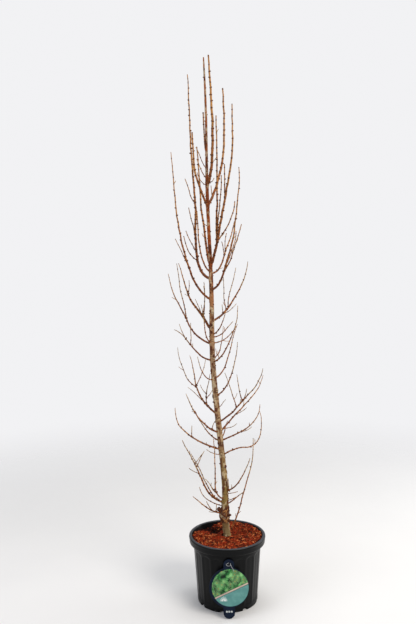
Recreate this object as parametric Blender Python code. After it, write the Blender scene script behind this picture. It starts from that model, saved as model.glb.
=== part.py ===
"""A young Japanese larch in its winter state, grown as a feathered whip in a round nursery pot.

Metres, +Z up, the label faces -Y. The origin is the centre of the pot's flat underside.
"""

import math
import random

import bmesh
import bpy
import numpy as np

GAP = 0.0003  # air between two solids that seat on each other
SPLIT_GAP = 0.00045  # along a limb, between its bare bough and its mass of twigs
FOOT_GAP = 0.0005  # between the trunk and the foot of a limb

# Pot
POT_HEIGHT = 0.260
POT_BASE_RADIUS = 0.116
POT_SHOULDER_RADIUS = 0.131
POT_SHOULDER_HEIGHT = 0.231
LIP_RADIUS = 0.148
LIP_MOUTH_RADIUS = 0.137
WALL = 0.003
FLOOR = 0.004
FLUTES = 18
FLUTE_DEPTH = 0.0014
POT_SIDES = 72
POT_CLEAR = 0.0006  # air between the root ball and the pot
# Height of each ring of the wall, and the share of the flutes' depth there
WALL_RINGS = (
    (0.0, 0.0), (0.013, 0.0), (0.022, 1.0), (0.120, 1.0), (0.196, 1.0), (0.208, 0.5),
    (0.214, 0.0), (POT_SHOULDER_HEIGHT, 0.0),
)
# Height and inner radius of the mouth, from the shoulder up
MOUTH_RINGS = (
    (0.226, POT_SHOULDER_RADIUS - WALL), (0.238, LIP_MOUTH_RADIUS - 0.005),
    (0.258, LIP_MOUTH_RADIUS),
)
# Height and radius of each ring of the rolled lip and of the inside
LIP_RINGS = (
    (0.2312, LIP_RADIUS - 0.006), (0.233, LIP_RADIUS - 0.003), (0.238, LIP_RADIUS - 0.0015),
    (0.252, LIP_RADIUS - 0.0005), (0.257, LIP_RADIUS), (POT_HEIGHT, LIP_RADIUS - 0.003),
    (POT_HEIGHT, LIP_MOUTH_RADIUS + 0.002), *reversed(MOUTH_RINGS),
    (FLOOR + 0.002, POT_BASE_RADIUS - WALL), (FLOOR, POT_BASE_RADIUS - WALL - 0.002),
)
SLOT_REACH = 0.112  # from the pot's middle to the middle of a drain slot
SLOT_CUT = 0.020  # length of a drain slot's cutter through the wall
DRAIN_SLOTS = 8
DRAIN_WIDTH = 0.020
DRAIN_HEIGHT = 0.011
DRAIN_FIRST = -57.0  # degrees round from the front

# Bark mulch on the root ball
MULCH_HEIGHT = 0.249  # at the trunk
MULCH_TOP = 0.2555  # no part of the mulch is higher
MULCH_SWELL = 0.0013
MULCH_SLOPE = 0.010  # rise of the mulch from left to right
MULCH_RIM = 0.0050  # rise from the trunk to the pot's wall
# Middle, depth and radius of each sunken spot: one behind the trunk, one along the wall
MULCH_HOLLOWS = ((-0.042, 0.064, 0.012, 0.024), (-0.080, 0.094, 0.013, 0.042))
MULCH_SIDES = 36
MULCH_RINGS = (0.90, 0.78, 0.64, 0.48, 0.32)  # shares of the radius at the wall
TRUNK_SEAT = 0.024  # radius of the level patch that the trunk stands on
SEAT_BLEND = 0.02  # width of the ring over which that patch runs into the rest

# Label
LABEL_X = 0.0015
LABEL_THICK = 0.002
LABEL_FOOT_Y = -0.161
LABEL_FOOT_Z = 0.003
LABEL_HEIGHT = 0.2165
LABEL_LEAN = 6.95  # degrees, top towards the pot
LABEL_DISC_RADIUS = 0.0735
LABEL_DISC_HEIGHT = 0.113
LABEL_TAB_RADIUS = 0.020
LABEL_FOOT_RADIUS = 0.0215
EYELET_RADIUS = 0.0042
PIN_RADIUS = 0.0032
PIN_HEAD_RADIUS = 0.0068
PIN_SIDES = 16
# How far each ring of the pin stands in front of the card's back, and its radius
PIN_RINGS = (
    (-0.0085, 0.0020), (-0.0060, PIN_RADIUS), (LABEL_THICK + 0.0004, PIN_RADIUS),
    (LABEL_THICK + 0.0005, PIN_HEAD_RADIUS), (LABEL_THICK + 0.0018, PIN_HEAD_RADIUS),
    (LABEL_THICK + 0.0030, PIN_HEAD_RADIUS * 0.6),
)

# Trunk: height, drift sideways, radius
TRUNK_Y = 0.012
TRUNK_SIDES = 12
TRUNK_STATIONS = (
    (0.249, 0.0000, 0.0146),
    (0.258, -0.0012, 0.0137),
    (0.275, -0.0035, 0.0134),
    (0.305, -0.005, 0.0140),
    (0.325, -0.006, 0.0150),
    (0.350, -0.006, 0.0145),
    (0.365, -0.006, 0.0131),
    (0.440, -0.0057, 0.0122),
    (0.540, -0.0138, 0.0113),
    (0.640, -0.0239, 0.0112),
    (0.740, -0.0335, 0.0111),
    (0.840, -0.0426, 0.0108),
    (0.940, -0.0496, 0.0102),
    (1.040, -0.0513, 0.0096),
    (1.140, -0.0504, 0.0087),
    (1.240, -0.0517, 0.0079),
    (1.340, -0.0545, 0.0069),
    (1.440, -0.059, 0.0062),
    (1.540, -0.0625, 0.0056),
    (1.640, -0.064, 0.0051),
    (1.740, -0.0638, 0.0047),
    (1.840, -0.0642, 0.0044),
    (1.940, -0.0665, 0.0039),
    (2.030, -0.0700, 0.0032),
    (2.066, -0.0715, 0.0022),
)

# Limbs that leave the trunk: height, compass turn, length, climb in degrees along the way,
# radius at the foot, share that is bare bough (0 where the whole limb is one mass of twigs)
LIMBS = {
    "base_whip": (0.272, 10, 0.370, (57, 73, 75, 71, 83, 92), 0.0029, 0),
    "left_01": (0.341, 200, 0.140, (14, 42, 45), 0.0031, 0),
    "left_02": (0.366, 158, 0.118, (5, 26, 79), 0.0020, 0),
    "left_03": (0.384, 176, 0.287, (25, 68, 65, 60), 0.0040, 0),
    "left_04": (0.402, 232, 0.266, (20, 92, 88, 82), 0.0029, 0),
    "left_06": (0.597, 208, 0.270, (22, 31, 47, 97), 0.0036, 0),
    "left_07": (0.625, 128, 0.145, (5, 33, 36), 0.0029, 0),
    "left_08": (0.664, 228, 0.246, (24, 41, 53, 67), 0.0036, 0.18),
    "left_09": (0.734, 129, 0.271, (16, 40, 79, 64), 0.0042, 0.22),
    "left_10": (0.866, 236, 0.146, (10, 51, 75), 0.0022, 0),
    "left_11": (0.943, 220, 0.213, (17, 42, 52, 22), 0.0034, 0.52),
    "left_12": (1.005, 150, 0.330, (17, 40, 66, 54, 70, 78), 0.0038, 0.42),
    "left_13": (1.010, 232, 0.128, (37, 84, 78), 0.0026, 0),
    "left_14": (1.067, 138, 0.291, (56, 40, 70, 68), 0.0050, 0.20),
    "left_15": (1.178, 207, 0.569, (37, 68, 76, 82, 87, 84), 0.0041, 0.26),
    "left_16": (1.253, 122, 0.830, (8, 75, 95, 82, 83, 85, 88, 84), 0.0053, 0.145),
    "left_17": (1.280, 242, 0.250, (21, 64, 85, 83), 0.0031, 0),
    "left_18": (1.313, 112, 0.462, (55, 79, 66, 88, 77, 81), 0.0046, 0),
    "left_19": (1.531, 242, 0.273, (49, 51, 85, 83), 0.0042, 0),
    "left_22": (1.629, 120, 0.101, (35, 52, 54), 0.0017, 0),
    "left_25": (1.731, 118, 0.137, (77, 86, 85), 0.0026, 0),
    "right_02": (0.375, 30, 0.079, (23, 27, 22), 0.0026, 0),
    "right_03": (0.432, 310, 0.201, (28, 46, 62, 62), 0.0029, 0),
    "right_04": (0.573, 26, 0.274, (24, -9, 77, 108), 0.0028, 0),
    "right_05": (0.632, 332, 0.224, (27, 29, 49, 85), 0.0030, 0),
    "right_06": (0.637, 60, 0.072, (18, 68, 43), 0.0026, 0),
    "right_07": (0.707, 328, 0.284, (35, 48, 47, 77), 0.0035, 0.33),
    "right_08": (0.670, 28, 0.270, (42, 39, 41, 76), 0.0033, 0.30),
    "right_10": (0.807, 306, 0.258, (29, 54, 71, 82), 0.0029, 0),
    "right_11": (0.871, 52, 0.246, (9, 61, 66, 60), 0.0029, 0),
    "right_12": (0.937, 308, 0.270, (24, 55, 62, 93), 0.0029, 0),
    "right_13": (1.007, 350, 0.106, (9, 44, 58), 0.0022, 0),
    "right_14": (0.948, 60, 0.148, (5, 69, 82), 0.0022, 0),
    "right_15": (1.029, 28, 0.099, (6, 44, 41), 0.0024, 0),
    "right_16": (1.042, 310, 0.121, (25, 59, 72), 0.0026, 0),
    "right_17": (1.093, 42, 0.294, (21, 45, 54, 83), 0.0041, 0.20),
    "right_18": (1.212, 300, 0.491, (20, 59, 61, 78, 77, 92), 0.0041, 0.23),
    "right_19": (1.271, 56, 0.265, (6, 62, 52, 73), 0.0034, 0),
    "right_20": (1.313, 302, 0.580, (63, 71, 71, 70, 91, 91), 0.0051, 0.15),
    "right_21": (1.533, 62, 0.482, (42, 55, 69, 86, 93, 94), 0.0050, 0),
    "right_22": (1.609, 300, 0.460, (60, 85, 90, 95, 96, 96), 0.0056, 0),
}

# Side shoots: parent, share along it, compass turn, length, climb, radius at the foot
SHOOTS = {
    "left_01a": ("left_01", 0.42, 235, 0.054, (54, 52, 59), 0.0017),
    "left_01b": ("left_01", 0.29, 165, 0.032, (94, 92), 0.0016),
    "left_03p": ("left_03", 0.13, 205, 0.225, (45, 66, 66, 56), 0.0025),
    "left_03a": ("left_03", 0.63, 50, 0.071, (35, 55, 35), 0.0016),
    "left_03b": ("left_03", 0.67, 20, 0.045, (44, 54), 0.0014),
    "left_03c": ("left_03", 0.54, 160, 0.044, (5, 39), 0.0014),
    "left_04a": ("left_04", 0.27, 200, 0.073, (42, 61, 49), 0.0017),
    "left_06a": ("left_06", 0.52, 173, 0.041, (95, 87), 0.0016),
    "left_08a": ("left_08", 0.21, 308, 0.051, (72, 62, 43), 0.0016),
    "left_09a": ("left_09", 0.24, 110, 0.148, (26, 105, 125, 105), 0.0024),
    "left_09e": ("left_09a", 0.25, 40, 0.065, (28, 49, 61), 0.0016),
    "left_09f": ("left_09a", 0.38, 145, 0.044, (20, 75), 0.0014),
    "left_09b": ("left_09", 0.59, 49, 0.117, (44, 59, 74), 0.0018),
    "left_09c": ("left_09", 0.57, 164, 0.181, (23, 65, 71, 85), 0.0023),
    "left_09d": ("left_09", 0.31, 164, 0.091, (37, 45, 33), 0.0017),
    "left_11a": ("left_11", 0.72, 185, 0.061, (60, 66, 76), 0.0016),
    "left_11b": ("left_11", 0.59, 185, 0.081, (95, 90, 87), 0.0017),
    "left_12a": ("left_12", 0.46, 185, 0.217, (86, 74, 86, 80), 0.0023),
    "left_14a": ("left_14", 0.59, 173, 0.054, (100, 96, 83), 0.0016),
    "left_14b": ("left_14", 0.24, 110, 0.137, (115, 105, 67), 0.0019),
    "left_14c": ("left_14", 0.22, 230, 0.121, (100, 95, 76), 0.0018),
    "left_14d": ("left_14", 0.27, 178, 0.063, (76, 65, 68), 0.0016),
    "left_15a": ("left_15", 0.28, 172, 0.121, (65, 66, 61), 0.0018),
    "left_16a": ("left_16", 0.16, 190, 0.112, (27, 69, 76), 0.0021),
    "left_16b": ("left_16", 0.20, 157, 0.092, (59, 60, 69), 0.0020),
    "left_16c": ("left_16", 0.26, 157, 0.124, (82, 74, 77), 0.0021),
    "left_16d": ("left_16", 0.42, 157, 0.105, (44, 78, 64), 0.0020),
    "right_03a": ("right_03", 0.13, 345, 0.046, (90, 95), 0.0016),
    "right_05a": ("right_05", 0.45, 7, 0.042, (0, 44), 0.0016),
    "right_07a": ("right_07", 0.49, 228, 0.109, (59, 79, 75), 0.0020),
    "right_07b": ("right_07", 0.51, 3, 0.044, (66, 80), 0.0016),
    "right_07c": ("right_07", 0.37, 228, 0.155, (65, 64, 67, 61), 0.0019),
    "right_08a": ("right_08", 0.36, 353, 0.047, (17, 47), 0.0016),
    "right_17a": ("right_17", 0.35, 7, 0.155, (94, 76, 72, 83), 0.0019),
    "right_17b": ("right_17", 0.31, 140, 0.125, (63, 93, 87), 0.0018),
    "right_17c": ("right_17", 0.24, 7, 0.063, (8, 40, 47), 0.0017),
    "right_18a": ("right_18", 0.26, 335, 0.184, (50, 70, 71, 72), 0.0024),
    "right_18b": ("right_18", 0.30, 335, 0.134, (62, 69, 83), 0.0018),
    "right_19a": ("right_19", 0.48, 130, 0.051, (72, 82, 63), 0.0016),
    "right_19b": ("right_19", 0.53, 60, 0.071, (97, 84, 63), 0.0016),
    "right_20a": ("right_20", 0.18, 240, 0.458, (80, 98, 90, 91, 88, 88), 0.0037),
    "right_20b": ("right_20", 0.19, 300, 0.236, (93, 76, 80, 87), 0.0028),
    "right_20c": ("right_20", 0.46, 240, 0.115, (87, 91, 85), 0.0022),
    "right_20d": ("right_20", 0.18, 345, 0.164, (53, 57, 69, 85), 0.0025),
}

# Height of a limb's foot on the trunk, and the radius at its tips
TIP_RADII = (
    (0.25, 0.0013), (0.55, 0.0011), (0.75, 0.0009), (1.15, 0.0011), (1.35, 0.0021), (1.60, 0.0028),
)
TIP_SHARE = 0.9  # of the foot's radius, which no tip is thicker than
TAPER = 0.8  # power of the rest of the length that the radius follows
FOOT_REACH = 1.2  # radii that a limb runs straight out before it starts to climb
STEP = 0.028  # spacing of the rings along a limb
BOUGH_SIDES = 6
STEM_SIDES = 5
SHOOT_SIDES = 4
SPUR_SPACING = 0.075
SPUR_LENGTH = 0.010
SPUR_RADIUS = 0.0015
CLEARANCE = 0.0012  # air kept between a side twig and every other node
SEED = 7


def material(name, colour, roughness):
    made = bpy.data.materials.new(name)
    made.use_nodes = True
    shader = made.node_tree.nodes["Principled BSDF"]
    shader.inputs["Base Color"].default_value = (*colour, 1.0)
    shader.inputs["Roughness"].default_value = roughness
    return made


def mesh_object(name, points, faces, finish):
    mesh = bpy.data.meshes.new(name)
    mesh.from_pydata([tuple(map(float, p)) for p in points], [], faces)
    made = bpy.data.objects.new(name, mesh)
    bpy.context.scene.collection.objects.link(made)
    if finish:
        mesh.materials.append(finish)
    tidy = bmesh.new()
    tidy.from_mesh(mesh)
    bmesh.ops.triangulate(tidy, faces=[f for f in tidy.faces if len(f.verts) > 4])
    bmesh.ops.recalc_face_normals(tidy, faces=tidy.faces)
    tidy.to_mesh(mesh)
    tidy.free()
    return made


def lathe_faces(rings, sides):
    """Quads between closed rings stacked one after another, with a cap on each end."""
    faces = [tuple(range(sides))[::-1]]
    for ring in range(rings - 1):
        for side in range(sides):
            a = ring * sides + side
            b = ring * sides + (side + 1) % sides
            faces.append((a, b, b + sides, a + sides))
    faces.append(tuple((rings - 1) * sides + side for side in range(sides)))
    return faces


def trunk_at(height):
    """Centre and radius of the trunk at a height."""
    heights, drifts, radii = zip(*TRUNK_STATIONS)
    centre = np.array([np.interp(height, heights, drifts), TRUNK_Y, height])
    return centre, float(np.interp(height, heights, radii))


def climb_at(climbs, share):
    return np.interp(share * (len(climbs) - 1), range(len(climbs)), climbs)


def way(start, turn, length, climbs):
    """Points of a limb's centre line, one for each step, starting at its foot."""
    steps = max(4, math.ceil(length / STEP))
    fine = 8 * steps
    share = (np.arange(fine) + 0.5) / fine
    climb = np.radians(climb_at(climbs, share))
    turn = math.radians(turn)
    out = np.stack(
        [np.cos(climb) * math.cos(turn), np.cos(climb) * math.sin(turn), np.sin(climb)], 1
    )
    line = np.vstack([start, start + np.cumsum(out * length / fine, axis=0)])
    return line[::8]


def point_at(line, share):
    place = share * (len(line) - 1)
    lower = min(int(place), len(line) - 2)
    return line[lower] + (line[lower + 1] - line[lower]) * (place - lower)


def part_of(line, first, last):
    """The stretch of a centre line between two shares, and the share of each of its points."""
    shares = np.linspace(0, 1, len(line))
    inner = shares[(shares > first + 0.01) & (shares < last - 0.01)]
    kept = [first, *inner, last]
    return np.array([point_at(line, share) for share in kept]), np.array(kept)


def tube(name, line, radii, sides, finish=None, foot_axis=None, phase=0.0):
    """A closed tapering tube. foot_axis tips the first ring square to that direction."""
    heading = np.gradient(line, axis=0)
    heading /= np.linalg.norm(heading, axis=1)[:, None]
    if foot_axis is not None:
        heading[0] = foot_axis
    side = np.cross(heading[len(line) // 2], (0.31, 0.17, 0.93))
    points = []
    for centre, axis, radius in zip(line, heading, radii):
        side = side - axis * (side @ axis)
        side /= np.linalg.norm(side)
        other = np.cross(axis, side)
        for k in range(sides):
            angle = 2 * math.pi * k / sides + phase
            points.append(centre + radius * (side * math.cos(angle) + other * math.sin(angle)))
    return mesh_object(name, points, lathe_faces(len(line), sides), finish)


def taper(limb, foot, shares):
    """Radii at shares of a stem's length, down to the tip radius of the limb it grows from."""
    tip = min(np.interp(LIMBS[limb][0], *zip(*TIP_RADII)), foot * TIP_SHARE)
    return tip + (foot - tip) * (1 - np.asarray(shares)) ** TAPER


def lines_of_limbs():
    """Centre line of each limb, and the outward direction at its foot."""
    lines = {}
    for name, (height, turn, length, climbs, radius, bare) in LIMBS.items():
        centre, trunk_radius = trunk_at(height)
        out = np.array([math.cos(math.radians(turn)), math.sin(math.radians(turn)), 0.0])
        foot = centre + out * (trunk_radius + FOOT_GAP)
        line = way(foot + out * radius * FOOT_REACH, turn, length, climbs)
        lines[name] = np.vstack([foot, line])
    return lines


def make_union(name, pieces, finish):
    """One solid from overlapping pieces."""
    if len(pieces) > 1:
        group = bpy.data.collections.new(name + "_joined")
        bpy.context.scene.collection.children.link(group)
        for piece in pieces[1:]:
            bpy.context.scene.collection.objects.unlink(piece)
            group.objects.link(piece)
        union = pieces[0].modifiers.new("union", "BOOLEAN")
        union.operation = "UNION"
        union.operand_type = "COLLECTION"
        union.collection = group
        union.solver = "EXACT"
        bpy.context.view_layer.objects.active = pieces[0]
        bpy.ops.object.modifier_apply(modifier="union")
        for piece in pieces[1:]:
            bpy.data.objects.remove(piece)
        bpy.data.collections.remove(group)
    pieces[0].name = name
    pieces[0].data.name = name
    pieces[0].data.materials.clear()
    pieces[0].data.materials.append(finish)
    return pieces[0]


def spans(line, radii):
    return [(line[i], line[i + 1], max(radii[i], radii[i + 1])) for i in range(len(line) - 1)]


def is_clear(line, radii, taken):
    """Whether a twig keeps its clearance from every span given."""
    starts = np.array([s[0] for s in taken])
    ends = np.array([s[1] for s in taken])
    girth = np.array([s[2] for s in taken])
    along = ends - starts
    square = np.maximum((along**2).sum(1), 1e-12)
    for i in range(len(line) - 1):
        for share in (0.0, 0.34, 0.67, 1.0):
            point = line[i] + (line[i + 1] - line[i]) * share
            t = np.clip(((point - starts) * along).sum(1) / square, 0, 1)
            away = np.linalg.norm(starts + along * t[:, None] - point, axis=1)
            if (away - girth - radii[i] < CLEARANCE).any():
                return False
    return True


def build_limbs(wood, twig):
    lines = lines_of_limbs()
    radii = {}
    taken = {"trunk": []}
    heights = [s[0] for s in TRUNK_STATIONS]
    for low, high in zip(heights, heights[1:]):
        start, girth = trunk_at(low)
        end, _ = trunk_at(high)
        taken["trunk"].append((start, end, girth))
    for name, line in lines.items():
        radii[name] = taper(name, LIMBS[name][4], np.linspace(0, 1, len(line)))
        taken[name] = spans(line, radii[name])
    children = {name: [] for name in lines}
    family = {name: name for name in lines}
    for name, (parent, share, turn, length, climbs, radius) in SHOOTS.items():
        start = point_at(lines[parent], share)
        line = way(start, turn, length, climbs)
        girth = taper(family[parent], radius, np.linspace(0, 1, len(line)))
        others = [s for other, held in taken.items() if other != family[parent] for s in held]
        if is_clear(line, girth, others):
            lines[name] = line
            radii[name] = girth
            family[name] = family[parent]
            children[family[name]].append(name)
            taken[family[name]] += spans(line, girth)
    dice = random.Random(SEED)
    for name, (_, turn, length, _, radius, bare) in LIMBS.items():
        line = lines[name]
        foot_axis = np.array((math.cos(math.radians(turn)), math.sin(math.radians(turn)), 0))
        first = 0.0
        if bare:
            low, shares = part_of(line, 0, bare)
            tube("bough_" + name, low, taper(name, radius, shares), BOUGH_SIDES, wood, foot_axis)
            first = bare + SPLIT_GAP / length
            foot_axis = low[-1] - low[-2]
            foot_axis /= np.linalg.norm(foot_axis)
        upper, shares = part_of(line, first, 1)
        pieces = [tube(name, upper, taper(name, radius, shares), STEM_SIDES, None, foot_axis)]
        for child in children[name]:
            pieces.append(tube(child, lines[child], radii[child], SHOOT_SIDES))
        for owner in [name, *children[name]]:
            pieces += spurs(dice, owner, lines, radii, taken, name, bare if owner == name else 0)
        make_union("twigs_" + name, pieces, twig)


def spurs(dice, owner, lines, radii, taken, family, bare):
    """Short shoots standing off a twig at a seeded spacing."""
    made = []
    line = lines[owner]
    length = np.linalg.norm(np.diff(line, axis=0), axis=1).sum()
    place = bare * length + dice.uniform(0.5, 0.8) * SPUR_SPACING
    turn = dice.uniform(0, 360)
    others = [s for other, held in taken.items() if other != family for s in held]
    while place < length - 0.02:
        share = place / length
        start = point_at(line, share)
        heading = point_at(line, min(1, share + 0.02)) - start
        heading /= np.linalg.norm(heading)
        side = np.cross(heading, (math.cos(turn), math.sin(turn), 0.2))
        side /= np.linalg.norm(side)
        reach = SPUR_LENGTH * dice.uniform(0.8, 1.2) + np.interp(share, (0, 1), (0.002, 0))
        end = start + (side * 0.8 + heading * 0.6) * reach
        girth = (SPUR_RADIUS, SPUR_RADIUS * 0.8)
        if is_clear(np.array([start, end]), girth, others):
            name = f"{owner}_spur_{len(made)}"
            made.append(tube(name, np.array([start, end]), girth, 3, phase=turn))
        place += SPUR_SPACING * dice.uniform(0.8, 1.2)
        turn += math.radians(137.5)
    return made


def build_trunk(bark):
    centres = []
    radii = []
    for height, _, radius in TRUNK_STATIONS:
        centre, _ = trunk_at(height + (GAP if height == MULCH_HEIGHT else 0))
        centres.append(centre)
        radii.append(radius)
    points = []
    for i, (centre, radius) in enumerate(zip(centres, radii)):
        for k in range(TRUNK_SIDES):
            angle = 2 * math.pi * k / TRUNK_SIDES
            flare = 1 + 0.10 * math.cos(3 * angle + 0.6) * (1 if i == 0 else 0.2 if i < 3 else 0)
            points.append(
                centre + radius * flare * np.array([math.cos(angle), math.sin(angle), 0])
            )
    mesh_object("trunk", points, lathe_faces(len(centres), TRUNK_SIDES), bark)


def pot_outside(height):
    share = height / POT_SHOULDER_HEIGHT
    return POT_BASE_RADIUS + (POT_SHOULDER_RADIUS - POT_BASE_RADIUS) * share


def build_pot(plastic):
    rings = [(height, pot_outside(height), fluted) for height, fluted in WALL_RINGS]
    rings += [(height, radius, 0.0) for height, radius in LIP_RINGS]
    points = []
    for height, radius, fluted in rings:
        for k in range(POT_SIDES):
            angle = 2 * math.pi * k / POT_SIDES
            dent = 0.5 - 0.5 * math.cos(FLUTES * angle)
            reach = radius - fluted * FLUTE_DEPTH * dent
            points.append((reach * math.cos(angle), reach * math.sin(angle), height))
    pot = mesh_object("pot", points, lathe_faces(len(rings), POT_SIDES), plastic)
    for slot in range(DRAIN_SLOTS):
        turn = math.radians(DRAIN_FIRST - 90 + 360 / DRAIN_SLOTS * slot)
        bpy.ops.mesh.primitive_cube_add(size=1)
        cutter = bpy.context.object
        cutter.name = f"slot_cutter_{slot}"
        cutter.scale = (SLOT_CUT, DRAIN_WIDTH, 2 * DRAIN_HEIGHT)
        cutter.location = (SLOT_REACH * math.cos(turn), SLOT_REACH * math.sin(turn), 0)
        cutter.rotation_euler.z = turn
        cutter.hide_render = True
        cutter.display_type = "WIRE"
        cut = pot.modifiers.new(cutter.name, "BOOLEAN")
        cut.operation = "DIFFERENCE"
        cut.object = cutter
        cut.solver = "EXACT"


def mulch_level(x, y):
    """Height of the mulch: level at the trunk, rising to the wall, with sunken spots."""
    away = math.hypot(x, y - TRUNK_Y)
    swell = math.sin(41 * x + 0.7) * math.cos(53 * y - 0.4) + 0.5 * math.sin(97 * x - 71 * y)
    rise = MULCH_SWELL * swell + MULCH_SLOPE * x
    rise += MULCH_RIM * (math.hypot(x, y) / LIP_MOUTH_RADIUS) ** 2
    for middle_x, middle_y, depth, reach in MULCH_HOLLOWS:
        spread = ((x - middle_x) ** 2 + (y - middle_y) ** 2) / reach**2
        rise -= depth * math.exp(-spread)
    blend = min(1.0, max(0.0, (away - TRUNK_SEAT) / SEAT_BLEND))
    return min(MULCH_TOP, MULCH_HEIGHT + blend * rise)


def mouth_radius(height):
    """Radius of the pot's inside above the shoulder."""
    heights, radii = zip(*MOUTH_RINGS)
    return float(np.interp(height, heights, radii))


def build_root_ball(mulch):
    """Fills the pot to the mulch: rings up the wall, then rings in to the trunk's level patch."""
    foot = POT_BASE_RADIUS - WALL - POT_CLEAR
    shoulder = MOUTH_RINGS[0][0]
    reach = mouth_radius(MULCH_HEIGHT)
    rings = [(0, foot - 0.0034, FLOOR + POT_CLEAR), (0, foot, FLOOR + 0.004)]
    rings += [(0, mouth_radius(shoulder) - POT_CLEAR, shoulder), (1, reach, None)]
    rings += [(2, reach * share, None) for share in MULCH_RINGS]
    rings.append((2, TRUNK_SEAT, None))
    points = []
    for kind, radius, height in rings:
        middle = TRUNK_Y * (1 - (radius - TRUNK_SEAT) / (reach - TRUNK_SEAT)) if kind == 2 else 0.0
        for k in range(MULCH_SIDES):
            angle = 2 * math.pi * k / MULCH_SIDES
            x = radius * math.cos(angle)
            y = radius * math.sin(angle) + middle
            level = height or mulch_level(x, y)
            share = (mouth_radius(level) - POT_CLEAR) / radius if kind == 1 else 1.0
            points.append((x * share, y * share, level))
    mesh_object("root_ball", points, lathe_faces(len(rings), MULCH_SIDES), mulch)


def arc(middle_up, radius, first, last, steps):
    """Points of an arc about a centre on the card's middle line, angles in degrees."""
    angles = np.radians(np.linspace(first, last, steps))
    return [(radius * math.cos(a), middle_up + radius * math.sin(a)) for a in angles]


def label_outline():
    """Round card with an eyelet tab above and a round foot tab below, in its own flat frame."""
    foot = math.degrees(math.asin(LABEL_FOOT_RADIUS / LABEL_DISC_RADIUS))
    tab = math.degrees(math.asin(LABEL_TAB_RADIUS / LABEL_DISC_RADIUS))
    tab_centre = LABEL_HEIGHT - LABEL_TAB_RADIUS
    points = arc(LABEL_FOOT_RADIUS, LABEL_FOOT_RADIUS, 180, 360, 9)
    points += arc(LABEL_DISC_HEIGHT, LABEL_DISC_RADIUS, foot - 90, 90 - tab, 15)
    points += arc(tab_centre, LABEL_TAB_RADIUS, 0, 180, 9)
    points += arc(LABEL_DISC_HEIGHT, LABEL_DISC_RADIUS, 90 + tab, 270 - foot, 15)
    return points


def label_place(across, up, forward=0.0):
    """A point of the label's flat frame, set on the label's lean."""
    lean = math.radians(LABEL_LEAN)
    y = LABEL_FOOT_Y + up * math.sin(lean) - forward * math.cos(lean)
    z = LABEL_FOOT_Z + up * math.cos(lean) + forward * math.sin(lean)
    return (LABEL_X + across, y, z)


def build_label(card, dark):
    outline = label_outline()
    points = [label_place(x, up) for x, up in outline]
    points += [label_place(x, up, LABEL_THICK) for x, up in outline]
    label = mesh_object("label", points, lathe_faces(2, len(outline)), card)
    lean = math.radians(LABEL_LEAN)
    eyelet = LABEL_HEIGHT - LABEL_TAB_RADIUS * 0.9
    centre = label_place(0, eyelet, LABEL_THICK / 2)
    bpy.ops.mesh.primitive_cylinder_add(
        vertices=20, radius=EYELET_RADIUS, depth=0.02, location=centre,
        rotation=(math.pi / 2 - lean, 0, 0),
    )
    cutter = bpy.context.object
    cutter.name = "eyelet_cutter"
    cutter.hide_render = True
    cutter.display_type = "WIRE"
    cut = label.modifiers.new("eyelet", "BOOLEAN")
    cut.operation = "DIFFERENCE"
    cut.object = cutter
    cut.solver = "EXACT"
    # The pin runs square to the card, from just off the pot's wall to a head in front.
    points = []
    for forward, radius in PIN_RINGS:
        for k in range(PIN_SIDES):
            angle = 2 * math.pi * k / PIN_SIDES
            points.append(label_place(
                radius * math.cos(angle), eyelet + radius * math.sin(angle), forward
            ))
    mesh_object("label_pin", points, lathe_faces(len(PIN_RINGS), PIN_SIDES), dark)


for startup in list(bpy.data.objects):
    bpy.data.objects.remove(startup)

BARK = material("trunk_bark", (0.26, 0.19, 0.12), 0.85)
BOUGH = material("bough_bark", (0.25, 0.13, 0.07), 0.75)
TWIG = material("twig_bark", (0.45, 0.22, 0.09), 0.7)
PLASTIC = material("pot_plastic", (0.012, 0.013, 0.015), 0.35)
MULCH = material("bark_mulch", (0.30, 0.09, 0.03), 0.9)
CARD = material("label_card", (0.03, 0.06, 0.14), 0.5)
DARK = material("pin_plastic", (0.02, 0.02, 0.02), 0.4)

build_pot(PLASTIC)
build_root_ball(MULCH)
build_label(CARD, DARK)
build_trunk(BARK)
build_limbs(BOUGH, TWIG)
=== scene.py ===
"""Dress of a young larch in its winter state, in a round nursery pot.

Metres, +Z up, the label faces -Y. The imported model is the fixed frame. Every piece made here
stands in that frame and takes the place of the plain solids that it names.
"""

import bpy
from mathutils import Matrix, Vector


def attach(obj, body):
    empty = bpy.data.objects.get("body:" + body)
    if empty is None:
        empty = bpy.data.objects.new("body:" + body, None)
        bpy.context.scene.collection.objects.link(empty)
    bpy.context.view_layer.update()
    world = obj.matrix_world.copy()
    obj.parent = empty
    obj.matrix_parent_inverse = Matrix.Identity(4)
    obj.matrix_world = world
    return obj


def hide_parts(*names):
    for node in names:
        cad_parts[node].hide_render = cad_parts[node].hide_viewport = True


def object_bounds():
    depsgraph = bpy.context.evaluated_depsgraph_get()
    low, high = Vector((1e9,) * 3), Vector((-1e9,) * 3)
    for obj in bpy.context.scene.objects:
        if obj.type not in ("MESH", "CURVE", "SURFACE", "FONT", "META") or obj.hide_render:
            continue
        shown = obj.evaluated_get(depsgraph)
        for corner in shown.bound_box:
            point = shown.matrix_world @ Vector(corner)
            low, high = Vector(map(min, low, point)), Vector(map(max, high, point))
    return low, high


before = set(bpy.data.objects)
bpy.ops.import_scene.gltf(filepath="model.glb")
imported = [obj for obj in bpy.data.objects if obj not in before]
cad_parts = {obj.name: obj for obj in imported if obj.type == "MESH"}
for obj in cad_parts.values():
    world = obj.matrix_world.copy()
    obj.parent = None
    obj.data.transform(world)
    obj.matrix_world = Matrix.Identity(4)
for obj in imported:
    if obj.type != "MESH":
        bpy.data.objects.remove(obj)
CAD_BOX = [list(corner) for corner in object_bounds()]

import logging
import math
import random
from collections.abc import Callable, Iterable, Sequence
from dataclasses import dataclass, field
from enum import Enum

import bmesh
import bpy
import numpy as np
from mathutils import Euler, Matrix, Vector, noise
from mathutils.kdtree import KDTree

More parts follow.
